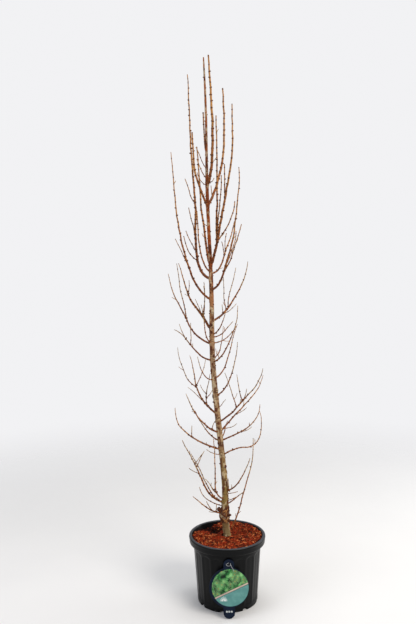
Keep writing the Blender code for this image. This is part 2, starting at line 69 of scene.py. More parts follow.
LOG = logging.getLogger("larch")
BODY = "root"

Pair = tuple[float, float]
Triple = tuple[float, float, float]
Climbs = tuple[float, ...]
Material = bpy.types.Material
Object = bpy.types.Object

UP = (0.0, 0.0, 1.0)
LEAF_TURN = 137.5

# The table of limbs: height on the trunk, compass turn, length, climb in degrees along the way,
# radius at the foot, share that is bare bough
LIMBS: dict[str, tuple[float, float, float, Climbs, float, float]] = {
    "base_whip": (0.272, 10, 0.370, (57, 73, 75, 71, 83, 92), 0.0029, 0),
    "left_01": (0.341, 200, 0.140, (14, 42, 45), 0.0031, 0),
    "left_02": (0.366, 158, 0.118, (5, 26, 79), 0.0020, 0),
    "left_03": (0.384, 176, 0.287, (25, 68, 65, 60), 0.0040, 0),
    "left_04": (0.402, 232, 0.266, (20, 92, 88, 82), 0.0029, 0),
    "left_06": (0.597, 208, 0.270, (22, 31, 47, 97), 0.0036, 0),
    "left_07": (0.625, 128, 0.145, (5, 33, 36), 0.0029, 0),
    "left_08": (0.664, 228, 0.246, (24, 41, 53, 67), 0.0036, 0.18),
    "left_09": (0.734, 129, 0.271, (16, 40, 79, 64), 0.0042, 0.22),
    "left_10": (0.866, 236, 0.146, (10, 51, 75), 0.0022, 0),
    "left_11": (0.943, 220, 0.213, (17, 42, 52, 22), 0.0034, 0.52),
    "left_12": (1.005, 150, 0.330, (17, 40, 66, 54, 70, 78), 0.0038, 0.42),
    "left_13": (1.010, 232, 0.128, (37, 84, 78), 0.0026, 0),
    "left_14": (1.067, 138, 0.291, (56, 40, 70, 68), 0.0050, 0.20),
    "left_15": (1.178, 207, 0.569, (37, 68, 76, 82, 87, 84), 0.0041, 0.26),
    "left_16": (1.253, 122, 0.830, (8, 75, 95, 82, 83, 85, 88, 84), 0.0053, 0.145),
    "left_17": (1.280, 242, 0.250, (21, 64, 85, 83), 0.0031, 0),
    "left_18": (1.313, 112, 0.462, (55, 79, 66, 88, 77, 81), 0.0046, 0),
    "left_19": (1.531, 242, 0.273, (49, 51, 85, 83), 0.0042, 0),
    "left_22": (1.629, 120, 0.101, (35, 52, 54), 0.0017, 0),
    "left_25": (1.731, 118, 0.137, (77, 86, 85), 0.0026, 0),
    "right_02": (0.375, 30, 0.079, (23, 27, 22), 0.0026, 0),
    "right_03": (0.432, 310, 0.201, (28, 46, 62, 62), 0.0029, 0),
    "right_04": (0.573, 26, 0.274, (24, -9, 77, 108), 0.0028, 0),
    "right_05": (0.632, 332, 0.224, (27, 29, 49, 85), 0.0030, 0),
    "right_06": (0.637, 60, 0.072, (18, 68, 43), 0.0026, 0),
    "right_07": (0.707, 328, 0.284, (35, 48, 47, 77), 0.0035, 0.33),
    "right_08": (0.670, 28, 0.270, (42, 39, 41, 76), 0.0033, 0.30),
    "right_10": (0.807, 306, 0.258, (29, 54, 71, 82), 0.0029, 0),
    "right_11": (0.871, 52, 0.246, (9, 61, 66, 60), 0.0029, 0),
    "right_12": (0.937, 308, 0.270, (24, 55, 62, 93), 0.0029, 0),
    "right_13": (1.007, 350, 0.106, (9, 44, 58), 0.0022, 0),
    "right_14": (0.948, 60, 0.148, (5, 69, 82), 0.0022, 0),
    "right_15": (1.029, 28, 0.099, (6, 44, 41), 0.0024, 0),
    "right_16": (1.042, 310, 0.121, (25, 59, 72), 0.0026, 0),
    "right_17": (1.093, 42, 0.294, (21, 45, 54, 83), 0.0041, 0.20),
    "right_18": (1.212, 300, 0.491, (20, 59, 61, 78, 77, 92), 0.0041, 0.23),
    "right_19": (1.271, 56, 0.265, (6, 62, 52, 73), 0.0034, 0),
    "right_20": (1.313, 302, 0.580, (63, 71, 71, 70, 91, 91), 0.0051, 0.15),
    "right_21": (1.533, 62, 0.482, (42, 55, 69, 86, 93, 94), 0.0050, 0),
    "right_22": (1.609, 300, 0.460, (60, 85, 90, 95, 96, 96), 0.0056, 0),
}

# Fine shoots straight on the trunk, laid down as the limbs are
FINE_LIMBS: dict[str, tuple[float, float, float, Climbs, float]] = {
    "fine_left_05": (0.573, 200, 0.055, (9, 45), 0.0015),
    "fine_left_20": (1.450, 118, 0.043, (10, 40), 0.0014),
    "fine_left_21": (1.602, 119, 0.088, (14, 37, 61), 0.0015),
    "fine_left_23": (1.665, 123, 0.108, (43, 58, 46), 0.0015),
    "fine_right_02": (0.393, 315, 0.046, (23, 36), 0.0015),
    "fine_right_03": (0.419, 330, 0.041, (12, 23), 0.0014),
    "fine_right_09": (0.759, 298, 0.070, (21, 43, 38), 0.0015),
    "fine_right_23": (1.536, 35, 0.067, (33, 99, 93), 0.0015),
}

# Side shoots: parent, share along it, compass turn, length, climb, radius at the foot
SHOOTS: dict[str, tuple[str, float, float, float, Climbs, float]] = {
    "left_01a": ("left_01", 0.42, 235, 0.054, (54, 52, 59), 0.0017),
    "left_01b": ("left_01", 0.29, 165, 0.032, (94, 92), 0.0016),
    "left_03p": ("left_03", 0.13, 205, 0.225, (45, 66, 66, 56), 0.0025),
    "left_03a": ("left_03", 0.63, 50, 0.071, (35, 55, 35), 0.0016),
    "left_03b": ("left_03", 0.67, 20, 0.045, (44, 54), 0.0014),
    "left_03c": ("left_03", 0.54, 160, 0.044, (5, 39), 0.0014),
    "left_04a": ("left_04", 0.27, 200, 0.073, (42, 61, 49), 0.0017),
    "left_04c": ("left_04", 0.26, 190, 0.048, (23, 100), 0.0014),
    "left_06a": ("left_06", 0.52, 173, 0.041, (95, 87), 0.0016),
    "left_08a": ("left_08", 0.21, 308, 0.051, (72, 62, 43), 0.0016),
    "left_08b": ("left_08", 0.67, 183, 0.011, (19, 15), 0.0014),
    "left_09a": ("left_09", 0.24, 110, 0.148, (26, 105, 125, 105), 0.0024),
    "left_09e": ("left_09a", 0.25, 40, 0.065, (28, 49, 61), 0.0016),
    "left_09f": ("left_09a", 0.38, 145, 0.044, (20, 75), 0.0014),
    "left_09b": ("left_09", 0.59, 49, 0.117, (44, 59, 74), 0.0018),
    "left_09c": ("left_09", 0.57, 164, 0.181, (23, 65, 71, 85), 0.0023),
    "left_09d": ("left_09", 0.31, 164, 0.091, (37, 45, 33), 0.0017),
    "left_11a": ("left_11", 0.72, 185, 0.061, (60, 66, 76), 0.0016),
    "left_11b": ("left_11", 0.59, 185, 0.081, (95, 90, 87), 0.0017),
    "left_12a": ("left_12", 0.46, 185, 0.217, (86, 74, 86, 80), 0.0023),
    "left_14a": ("left_14", 0.59, 173, 0.054, (100, 96, 83), 0.0016),
    "left_14b": ("left_14", 0.24, 110, 0.137, (115, 105, 67), 0.0019),
    "left_14c": ("left_14", 0.22, 230, 0.121, (100, 95, 76), 0.0018),
    "left_14d": ("left_14", 0.27, 178, 0.063, (76, 65, 68), 0.0016),
    "left_14e": ("left_14", 0.23, 130, 0.046, (88, 71), 0.0014),
    "left_15a": ("left_15", 0.28, 172, 0.121, (65, 66, 61), 0.0018),
    "left_16a": ("left_16", 0.16, 190, 0.112, (27, 69, 76), 0.0021),
    "left_16b": ("left_16", 0.20, 157, 0.092, (59, 60, 69), 0.0020),
    "left_16c": ("left_16", 0.26, 157, 0.124, (82, 74, 77), 0.0021),
    "left_16d": ("left_16", 0.42, 157, 0.105, (44, 78, 64), 0.0020),
    "right_03a": ("right_03", 0.13, 345, 0.046, (90, 95), 0.0016),
    "right_05a": ("right_05", 0.45, 7, 0.042, (0, 44), 0.0016),
    "right_07a": ("right_07", 0.49, 228, 0.109, (59, 79, 75), 0.0020),
    "right_07b": ("right_07", 0.51, 3, 0.044, (66, 80), 0.0016),
    "right_07c": ("right_07", 0.37, 228, 0.155, (65, 64, 67, 61), 0.0019),
    "right_08a": ("right_08", 0.36, 353, 0.047, (17, 47), 0.0016),
    "right_08b": ("right_08", 0.07, 35, 0.072, (0, 0, 35), 0.0016),
    "right_17a": ("right_17", 0.35, 7, 0.155, (94, 76, 72, 83), 0.0019),
    "right_17b": ("right_17", 0.31, 140, 0.125, (63, 93, 87), 0.0018),
    "right_17c": ("right_17", 0.24, 7, 0.063, (8, 40, 47), 0.0017),
    "right_17d": ("right_17", 0.24, 30, 0.034, (100, 94), 0.0014),
    "right_18a": ("right_18", 0.26, 335, 0.184, (50, 70, 71, 72), 0.0024),
    "right_18b": ("right_18", 0.30, 335, 0.134, (62, 69, 83), 0.0018),
    "right_19a": ("right_19", 0.48, 130, 0.051, (72, 82, 63), 0.0016),
    "right_19b": ("right_19", 0.53, 60, 0.071, (97, 84, 63), 0.0016),
    "right_20a": ("right_20", 0.18, 240, 0.458, (80, 98, 90, 91, 88, 88), 0.0037),
    "right_20b": ("right_20", 0.19, 300, 0.236, (93, 76, 80, 87), 0.0028),
    "right_20c": ("right_20", 0.46, 240, 0.115, (87, 91, 85), 0.0022),
    "right_20d": ("right_20", 0.18, 345, 0.164, (53, 57, 69, 85), 0.0025),
    "right_22a": ("right_22", 0.05, 335, 0.028, (0, 67), 0.0014),
}


# ---------------------------------------------------------------- shader tools


def tint(code: str) -> tuple[float, float, float, float]:
    """Turns a six-figure colour code into linear light.

    Args:
        code: The colour as RRGGBB.

    Returns:
        Red, green, blue and alpha from 0 to 1.
    """
    parts = [int(code[i:i + 2], 16) / 255 for i in (0, 2, 4)]
    linear = [p / 12.92 if p <= 0.04045 else ((p + 0.055) / 1.055) ** 2.4 for p in parts]
    return (linear[0], linear[1], linear[2], 1.0)


class Wire:
    """A number on its way between nodes. Sums on it add Math nodes."""

    def __init__(self, graph: "Graph", socket: bpy.types.NodeSocket) -> None:
        """Wraps one output socket of a graph."""
        self.graph = graph
        self.socket = socket

    def _sum(self, operation: str, *values: "Wire | float") -> "Wire":
        """Adds one Math node."""
        inputs = dict(enumerate(values))
        return self.graph.node("ShaderNodeMath", {"operation": operation}, inputs)

    def __add__(self, other: "Wire | float") -> "Wire":
        """Adds."""
        return self._sum("ADD", self, other)

    __radd__ = __add__

    def __sub__(self, other: "Wire | float") -> "Wire":
        """Takes away."""
        return self._sum("SUBTRACT", self, other)

    def __mul__(self, other: "Wire | float") -> "Wire":
        """Multiplies."""
        return self._sum("MULTIPLY", self, other)

    __rmul__ = __mul__

    def __truediv__(self, other: "Wire | float") -> "Wire":
        """Divides."""
        return self._sum("DIVIDE", self, other)

    def __pow__(self, other: float) -> "Wire":
        """Raises to a power."""
        return self._sum("POWER", self, other)

    def wave(self) -> "Wire":
        """Gives the sine."""
        return self._sum("SINE", self)

    def turn_from(self, other: "Wire") -> "Wire":
        """Gives the angle of the point (other, self) round the origin."""
        return self._sum("ARCTAN2", self, other)

    def step(self, low: float, high: float) -> "Wire":
        """Rises smoothly from 0 at low to 1 at high.

        Args:
            low: Value that gives 0.
            high: Value that gives 1; below low it falls instead.

        Returns:
            The step.
        """
        settings = {"interpolation_type": "SMOOTHSTEP"}
        inputs = {"Value": self, "From Min": low, "From Max": high}
        return self.graph.node("ShaderNodeMapRange", settings, inputs)


class Graph:
    """A material under construction, with one Principled shader."""

    def __init__(self, name: str) -> None:
        """Makes an empty material of that name."""
        self.material = bpy.data.materials.new(name)
        self.material.use_nodes = True
        self.nodes = self.material.node_tree.nodes
        self.links = self.material.node_tree.links
        self.shader = self.nodes["Principled BSDF"]
        self.output = self.nodes["Material Output"]
        self.place = self.node("ShaderNodeTexCoord", out="Object")

    def node(
        self,
        kind: str,
        settings: dict | None = None,
        inputs: dict | None = None,
        out: int | str = 0,
    ) -> Wire:
        """Adds one node.

        Args:
            kind: Blender's node type.
            settings: Properties set first; "stops" fills a colour ramp.
            inputs: Values or wires by socket name or number.
            out: Output wanted.

        Returns:
            The output as a wire.
        """
        made = self.nodes.new(kind)
        for key, value in (settings or {}).items():
            if key == "stops":
                self._fill_ramp(made.color_ramp, value)
            else:
                setattr(made, key, value)
        for key, value in (inputs or {}).items():
            if isinstance(value, Wire):
                self.links.new(value.socket, made.inputs[key])
            else:
                made.inputs[key].default_value = value
        return Wire(self, made.outputs[out])

    @staticmethod
    def _fill_ramp(ramp: bpy.types.ColorRamp, stops: Sequence[tuple[float, str]]) -> None:
        """Sets the stops of a colour ramp."""
        while len(ramp.elements) < len(stops):
            ramp.elements.new(1.0)
        for element, (at, code) in zip(ramp.elements, stops):
            element.position = at
            element.color = tint(code)

    def ramp(self, value: Wire, stops: Sequence[tuple[float, str]]) -> Wire:
        """Colours a number by stops."""
        return self.node("ShaderNodeValToRGB", {"stops": stops}, {"Fac": value})

    def mix(self, share: Wire | float, first: Wire | str, second: Wire | str) -> Wire:
        """Mixes two colours.

        Args:
            share: Share of the second.
            first: Colour or colour code.
            second: Colour or colour code.

        Returns:
            The mixed colour.
        """
        ends = [tint(end) if isinstance(end, str) else end for end in (first, second)]
        inputs = {0: share, 6: ends[0], 7: ends[1]}
        return self.node("ShaderNodeMix", {"data_type": "RGBA"}, inputs, 2)

    def stain(self, body: Wire | str, marks: Wire, span: Pair, share: float, code: str) -> Wire:
        """Lays a colour over the body where some marks rise through a span.

        Args:
            body: Colour below.
            marks: Number that says where the stain lies.
            span: Values of the marks at which the stain starts and is full.
            share: How much of the body a full stain covers.
            code: Colour of the stain.

        Returns:
            The stained colour.
        """
        return self.mix(marks.step(*span) * share, body, code)

    def stretched(self, scale: Triple, turn: Triple = (0.0, 0.0, 0.0)) -> Wire:
        """Gives the place in the piece, stretched and turned."""
        inputs = {"Vector": self.place, "Scale": scale, "Rotation": turn}
        return self.node("ShaderNodeMapping", None, inputs)

    def clouds(self, scale: float, detail: float = 3.0, place: Wire | None = None) -> Wire:
        """Gives soft noise from 0 to 1."""
        inputs = {"Vector": place or self.place, "Scale": scale, "Detail": detail}
        return self.node("ShaderNodeTexNoise", None, inputs)

    def axes(self, vector: Wire | None = None) -> tuple[Wire, Wire, Wire]:
        """Gives the three parts of a place."""
        made = self.node("ShaderNodeSeparateXYZ", None, {0: vector or self.place})
        outputs = made.socket.node.outputs
        return (Wire(self, outputs[0]), Wire(self, outputs[1]), Wire(self, outputs[2]))

    def finish(
        self,
        colour: Wire | str,
        roughness: Wire | float,
        relief: Wire | None = None,
        depth: float = 0.001,
        **constants: float,
    ) -> Material:
        """Joins the parts to the shader.

        Args:
            colour: Base colour.
            roughness: Roughness.
            relief: Height for the bump, from 0 to 1.
            depth: How deep the bump is, in metres.
            constants: Plain values for other sockets, by name with _ for a blank.

        Returns:
            The finished material.
        """
        for name, value in (("Base Color", colour), ("Roughness", roughness)):
            if isinstance(value, Wire):
                self.links.new(value.socket, self.shader.inputs[name])
            elif isinstance(value, str):
                self.shader.inputs[name].default_value = tint(value)
            else:
                self.shader.inputs[name].default_value = value
        if relief is not None:
            inputs = {"Height": relief, "Distance": depth, "Strength": 1.0}
            bump = self.node("ShaderNodeBump", None, inputs)
            self.links.new(bump.socket, self.shader.inputs["Normal"])
        for name, value in constants.items():
            self.shader.inputs[name.replace("_", " ")].default_value = value
        return self.material


# ---------------------------------------------------------------- finishes


@dataclass(frozen=True)
class TrunkBark:
    """Bark of the trunk, from grey-olive at the foot to red-brown at the top."""

    name: str = "trunk_bark"
    low: float = 0.24
    high: float = 2.07
    roughness: float = 0.82

    def make(self) -> Material:
        """Builds the material."""
        graph = Graph(self.name)
        _, _, height = graph.axes()
        drift = graph.clouds(14.0, 2.0, graph.stretched((1.0, 1.0, 0.4)))
        share = (height - self.low) / (self.high - self.low) + (drift - 0.5) * 0.05
        body = graph.ramp(share, (
            (0.000, "84734f"), (0.030, "725a38"), (0.042, "4f2a1a"), (0.064, "4c2818"),
            (0.078, "806a3a"), (0.130, "8a7042"), (0.166, "806640"), (0.200, "85694a"),
            (0.290, "9b7d5b"), (0.370, "947a5f"), (0.460, "946c4a"), (0.540, "8c5a38"),
            (0.600, "94461a"), (0.660, "984a18"), (0.700, "7c3c1a"), (0.780, "914e28"),
            (1.000, "9a5e36"),
        ))
        patches = graph.clouds(62.0, 4.0, graph.stretched((1.0, 1.0, 0.38)))
        body = graph.stain(body, patches, (0.51, 0.57), 0.80, "522c19")
        pale = graph.clouds(70.0, 3.0, graph.stretched((1.0, 1.0, 0.55), (0.4, 0.0, 0.0)))
        body = graph.stain(body, pale, (0.52, 0.60), 0.62, "c2b08e")
        rings = graph.clouds(16.0, 4.0, graph.stretched((1.0, 1.0, 16.0)))
        body = graph.stain(body, rings, (0.56, 0.64), 0.60, "3a1c10")
        cracks = graph.clouds(230.0, 4.0, graph.stretched((1.0, 1.0, 0.22)))
        relief = cracks * 0.7 + rings * 0.6
        rough = self.roughness + (cracks - 0.5) * 0.2
        return graph.finish(body, rough, relief, 0.0014, Specular_IOR_Level=0.15)


@dataclass(frozen=True)
class TwigBark:
    """Bark of a limb or twig of one age."""

    name: str
    base: str
    shade: str
    light: str
    roughness: float = 0.62

    def make(self) -> Material:
        """Builds the material."""
        graph = Graph(self.name)
        patches = graph.clouds(60.0, 3.0)
        body = graph.stain(self.base, patches, (0.46, 0.66), 0.8, self.shade)
        flecks = graph.clouds(420.0, 2.0)
        body = graph.stain(body, flecks, (0.56, 0.74), 0.6, self.light)
        rough = self.roughness + (flecks - 0.5) * 0.25
        return graph.finish(body, rough, flecks + patches * 0.5, 0.0006, Specular_IOR_Level=0.2)


@dataclass(frozen=True)
class PotPlastic:
    """Satin black moulded plastic: faint scuffs, dust near the foot and a painted highlight along
    the crest of the lip.
    """

    name: str = "pot_plastic"
    base: str = "030405"
    dust: str = "18191b"
    crest_highlight: str = "4c4e53"
    # Heights over which the painted highlight along the lip's crest comes in
    crest: Pair = (0.2572, 0.2596)

    def make(self) -> Material:
        """Builds the material."""
        graph = Graph(self.name)
        _, _, height = graph.axes()
        scuffs = graph.clouds(90.0, 5.0, graph.stretched((1.0, 1.0, 0.16)))
        grain = graph.clouds(900.0, 2.0)
        dusty = scuffs.step(0.56, 0.80) * 0.35 + height.step(0.05, 0.0) * 0.18
        body = graph.mix(dusty, self.base, self.dust)
        # Painted highlight: the lip's crest is lightened to stand in for the lamps' reflection
        # there, broken up by the scuffs
        body = graph.mix(height.step(*self.crest) * (0.35 + scuffs * 0.6), body, self.crest_highlight)
        rough = 0.26 + scuffs * 0.16 + height.step(0.05, 0.0) * 0.12
        relief = grain * 0.4 + scuffs * 0.6
        return graph.finish(body, rough, relief, 0.00025, Specular_IOR_Level=0.13)


@dataclass(frozen=True)
class BarkChip:
    """Shredded bark of one tone."""

    name: str
    base: str
    shade: str
    light: str
    # Heights over which painted shade darkens the sunken spots, and the colour of that shade
    shaded: Pair = (0.2470, 0.2375)
    deep: str = "100402"

    def make(self) -> Material:
        """Builds the material, with painted shade darkening it down in the sunken spots."""
        graph = Graph(self.name)
        _, _, height = graph.axes()
        tone = graph.clouds(120.0, 3.0)
        body = graph.mix(tone.step(0.42, 0.62), self.base, self.shade)
        fibre = graph.clouds(700.0, 3.0, graph.stretched((1.0, 0.35, 1.0), (0.3, 0.5, 0.9)))
        body = graph.stain(body, fibre, (0.55, 0.72), 0.7, self.light)
        # Painted shade: darkens chips and bed where they lie low in the hollows
        body = graph.stain(body, height, self.shaded, 0.85, self.deep)
        return graph.finish(body, 0.78 + (fibre - 0.5) * 0.3, fibre, 0.0009, Specular_IOR_Level=0.12)


@dataclass(frozen=True)
class CardInk:
    """Printed card of one ground colour, with a faint paper grain."""

    name: str
    base: str
    shade: str
    roughness: float

    def make(self) -> Material:
        """Builds the material."""
        graph = Graph(self.name)
        cloud = graph.clouds(40.0, 3.0)
        grain = graph.clouds(1500.0, 2.0)
        body = graph.mix(cloud.step(0.35, 0.7), self.base, self.shade)
        rough = self.roughness + grain * 0.1
        return graph.finish(body, rough, grain, 0.00006, Specular_IOR_Level=0.12)


@dataclass(frozen=True)
class NeedlePrint:
    """A printed field of needle rosettes in several greens."""

    name: str = "needle_print"
    rosette: float = 0.026
    needles: float = 15.0

    def make(self) -> Material:
        """Builds the material."""
        graph = Graph(self.name)
        flat = graph.stretched((1 / self.rosette, 0.0, 1 / self.rosette))
        wobble = graph.clouds(2.2, 2.0, flat)
        cells = {"feature": "F1", "voronoi_dimensions": "3D"}
        seat = graph.node("ShaderNodeTexVoronoi", cells, {"Vector": flat, "Scale": 1.0}, "Position")
        inputs = {0: flat, 1: seat}
        away = graph.node("ShaderNodeVectorMath", {"operation": "SUBTRACT"}, inputs)
        across, _, up = graph.axes(away)
        reach = (across * across + up * up) ** 0.5
        angle = up.turn_from(across)
        spray = (angle * self.needles + wobble * 9.0).wave() * 0.5 + 0.5
        ground = graph.clouds(1.4, 4.0, flat)
        body = graph.ramp(ground, (
            (0.40, "061a0c"), (0.48, "1a4f28"), (0.55, "33783c"), (0.68, "86c47c"),
        ))
        body = graph.mix(spray.step(0.45, 0.85) * reach.step(0.75, 0.10) * 0.8, body, "98cc8a")
        body = graph.mix(spray.step(0.30, 0.05) * reach.step(0.9, 0.3) * 0.7, body, "0f3020")
        body = graph.mix(reach.step(0.10, 0.04), body, "9a7a34")
        return graph.finish(body, 0.34, Specular_IOR_Level=0.15)


# ---------------------------------------------------------------- modelling tools


class Pick(Enum):
    """What a selection is made of."""

    POINTS = "VERT"
    FACES = "FACE"


class Bench:
    """One mesh under the tools, shaped in edit mode."""

    def __init__(self, name: str, add: Callable[..., set[str]], **settings: object) -> None:
        """Adds a primitive at its size and place and opens it in edit mode.

        Args:
            name: Name of the piece.
            add: The operator that adds the primitive.
            settings: The operator's settings.
        """
        bpy.ops.object.select_all(action="DESELECT")
        add(**settings)
        self.object = bpy.context.object
        self.object.name = name
        self.object.data.name = name
        bpy.ops.object.transform_apply(location=True, rotation=True, scale=True)
        bpy.ops.object.mode_set(mode="EDIT")
        bpy.ops.mesh.select_all(action="DESELECT")

    @classmethod
    def on_disc(cls, name: str, sides: int, radius: float, place: Triple = (0, 0, 0)) -> "Bench":
        """Starts a piece from a filled ring, which stays selected.

        Args:
            name: Name of the piece.
            sides: Points in the ring.
            radius: Its radius.
            place: Its middle.

        Returns:
            The bench.
        """
        add = bpy.ops.mesh.primitive_circle_add
        bench = cls(name, add, vertices=sides, radius=radius, location=place)
        bench.pick(lambda spot: True)
        bpy.ops.mesh.edge_face_add()
        return bench

    @classmethod
    def turned(cls, name: str, sides: int, rows: Sequence[Pair]) -> "Bench":
        """Starts a round piece through rows of height and radius."""
        bench = cls.on_disc(name, sides, rows[0][1], (0.0, 0.0, rows[0][0]))
        for (low, near), (high, far) in zip(rows, rows[1:]):
            bench.extrude((0.0, 0.0, high - low), far / near)
        return bench

    def pick(self, wanted: Callable[[Vector], bool], kind: Pick = Pick.POINTS) -> None:
        """Selects by place.

        Args:
            wanted: Says of a point, or of a face's middle, whether it is selected.
            kind: Points or faces.
        """
        bpy.ops.mesh.select_mode(type=kind.value)
        bpy.ops.mesh.select_all(action="DESELECT")
        shape = bmesh.from_edit_mesh(self.object.data)
        if kind is Pick.POINTS:
            for point in shape.verts:
                point.select_set(wanted(point.co))
        else:
            for face in shape.faces:
                face.select_set(wanted(face.calc_center_median()))
        shape.select_flush_mode()
        bmesh.update_edit_mesh(self.object.data)

    def extrude(self, move: Triple, grow: float = 1.0, centre: Triple = (0, 0, 0)) -> None:
        """Extrudes the selection and resizes it across.

        Args:
            move: How far the new end goes.
            grow: How much wider it becomes.
            centre: Middle of the resizing.
        """
        bpy.ops.mesh.extrude_region_move(TRANSFORM_OT_translate={"value": move})
        if grow != 1.0:
            bpy.ops.transform.resize(value=(grow, grow, 1.0), center_override=centre)

    def stack(self, rows: Iterable[Pair]) -> "Bench":
        """Extrudes the selection upwards through rows of rise and growth."""
        for rise, grow in rows:
            self.extrude((0.0, 0.0, rise), grow)
        return self

    def close(self, smooth: float | None = 40.0) -> Object:
        """Leaves edit mode with the faces turned outwards.

        Args:
            smooth: Angle in degrees below which edges are shaded smooth.

        Returns:
            The object.
        """
        bpy.ops.mesh.select_all(action="SELECT")
        bpy.ops.mesh.remove_doubles(threshold=1e-6)
        bpy.ops.mesh.normals_make_consistent(inside=False)
        bpy.ops.object.mode_set(mode="OBJECT")
        if smooth is not None:
            bpy.ops.object.shade_smooth_by_angle(angle=math.radians(smooth))
        return self.object


def apply_modifier(target: Object, kind: str, **settings: object) -> None:
    """Adds a modifier to an object and applies it.

    Args:
        target: The object.
        kind: Modifier type.
        settings: Its properties.
    """
    made = target.modifiers.new(kind.lower(), kind)
    for key, value in settings.items():
        setattr(made, key, value)
    bpy.ops.object.select_all(action="DESELECT")
    bpy.context.view_layer.objects.active = target
    bpy.ops.object.modifier_apply(modifier=made.name)


def combine(target: Object, other: Object, operation: str) -> None:
    """Joins or cuts one object by another and removes the other.

    Args:
        target: The object that stays.
        other: The object that is added or cut away.
        operation: UNION or DIFFERENCE.
    """
    apply_modifier(target, "BOOLEAN", operation=operation, object=other, solver="EXACT")
    bpy.data.objects.remove(other)


@dataclass
class Shape:
    """A small mesh that is modelled once and copied many times."""

    points: np.ndarray
    faces: list[tuple[int, ...]]

    @classmethod
    def taken_from(cls, made: Object) -> "Shape":
        """Reads an object's mesh and removes the object."""
        points = np.array([point.co[:] for point in made.data.vertices])
        faces = [tuple(face.vertices) for face in made.data.polygons]
        bpy.data.objects.remove(made)
        return cls(points, faces)


@dataclass
class Heap:
    """A joined piece under construction."""

    points: list[np.ndarray] = field(default_factory=list)
    faces: list[tuple[int, ...]] = field(default_factory=list)
    count: int = 0

    def add(self, points: np.ndarray, faces: Iterable[tuple[int, ...]]) -> None:
        """Adds one mesh to the heap."""
        self.faces += [tuple(index + self.count for index in face) for face in faces]
        self.points.append(points)
        self.count += len(points)

    def copy(self, shape: Shape, turn: np.ndarray, place: np.ndarray) -> None:
        """Adds a copy of a shape, turned and scaled by a 3 x 3 matrix and set at a place."""
        self.add(shape.points @ turn.T + place, shape.faces)

    def rings(self, rings: np.ndarray) -> None:
        """Adds a closed tube from rings of points, rings x sides x 3."""
        rows, sides = rings.shape[:2]
        faces = [tuple(range(sides))[::-1]]
        for row in range(rows - 1):
            for side in range(sides):
                a = row * sides + side
                b = row * sides + (side + 1) % sides
                faces.append((a, b, b + sides, a + sides))
        faces.append(tuple((rows - 1) * sides + side for side in range(sides)))
        self.add(rings.reshape(-1, 3), faces)

    def piece(self, name: str, smooth: bool = True) -> Object:
        """Makes the object of all that was added.

        Args:
            name: Name of the piece.
            smooth: Whether it is shaded smooth.

        Returns:
            The object.
        """
        mesh = bpy.data.meshes.new(name)
        mesh.from_pydata(np.vstack(self.points).tolist(), [], self.faces)
        mesh.polygons.foreach_set("use_smooth", [smooth] * len(mesh.polygons))
        made = bpy.data.objects.new(name, mesh)
        bpy.context.scene.collection.objects.link(made)
        return made


def settle(made: Object, finish: Material, replaced: Sequence[str] = ()) -> None:
    """Gives a piece its finish, ties it to the frame and reports it.

    Args:
        made: The piece.
        finish: Its material.
        replaced: The plain solids that it stands for.
    """
    made.data.materials.clear()
    made.data.materials.append(finish)
    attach(made, BODY)
    if replaced:
        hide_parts(*replaced)
    made.data.calc_loop_triangles()
    LOG.info("%s: %d triangles", made.name, len(made.data.loop_triangles))


def unit(way: np.ndarray) -> np.ndarray:
    """Gives a direction its unit length."""
    return way / np.linalg.norm(way)


def spoke(turn: float, rise: float = 0.0) -> np.ndarray:
    """Gives the level direction at a turn in radians, with an optional rise."""
    return np.array([math.cos(turn), math.sin(turn), rise])


def ring_points(
    line: np.ndarray, radii: np.ndarray, sides: int, rough: float, dice: np.random.Generator
) -> np.ndarray:
    """Rings of points round a centre line, carried along without twist.

    Args:
        line: Points of the centre line.
        radii: Radius at each.
        sides: Points in a ring.
        rough: Share by which each point's radius may stray.
        dice: Source of the strays.

    Returns:
        The rings, rings x sides x 3.
    """
    heading = np.gradient(line, axis=0)
    heading /= np.linalg.norm(heading, axis=1)[:, None]
    slant = (0.31, 0.17, 0.93)
    side = np.cross(heading[len(line) // 2], slant)
    angles = np.arange(sides) * 2 * math.pi / sides
    stray = 1 + rough * dice.uniform(-1, 1, (len(line), sides))
    rings = []
    for centre, axis, radius, strays in zip(line, heading, radii, stray):
        side = unit(side - axis * (side @ axis))
        other = np.cross(axis, side)
        spokes = np.outer(np.cos(angles), side) + np.outer(np.sin(angles), other)
        rings.append(centre + spokes * (radius * strays)[:, None])
    return np.array(rings)


# ---------------------------------------------------------------- the growing rule


class Age(Enum):
    """Age of a stretch of wood, which gives its tone and its piece."""

    BOUGH = "boughs"
    OLD = "older_twigs"
    RIPE = "brown_twigs"
    YOUNG = "orange_twigs"
    FINE = "pale_twigs"


@dataclass
class Stem:
    """One grown stem: its centre line, its radii and the limb that it belongs to."""

    name: str
    family: str
    rank: int
    coarse: np.ndarray
    line: np.ndarray
    radii: np.ndarray
    bare: float = 0.0

    def length(self) -> float:
        """Gives the length along the centre line."""
        return float(np.linalg.norm(np.diff(self.line, axis=0), axis=1).sum())

    def shares(self) -> np.ndarray:
        """Gives the share of the length reached at each point."""
        gone = np.cumsum(np.linalg.norm(np.diff(self.line, axis=0), axis=1))
        return np.concatenate([[0.0], gone / gone[-1]])

    def at(self, share: float) -> tuple[np.ndarray, np.ndarray, float]:
        """Gives the point, heading and radius at a share of the length."""
        shares = self.shares()
        point = np.array([np.interp(share, shares, self.line[:, axis]) for axis in range(3)])
        spot = int(np.clip(np.searchsorted(shares, share), 1, len(shares) - 1))
        heading = unit(self.line[spot] - self.line[spot - 1])
        return point, heading, float(np.interp(share, shares, self.radii))


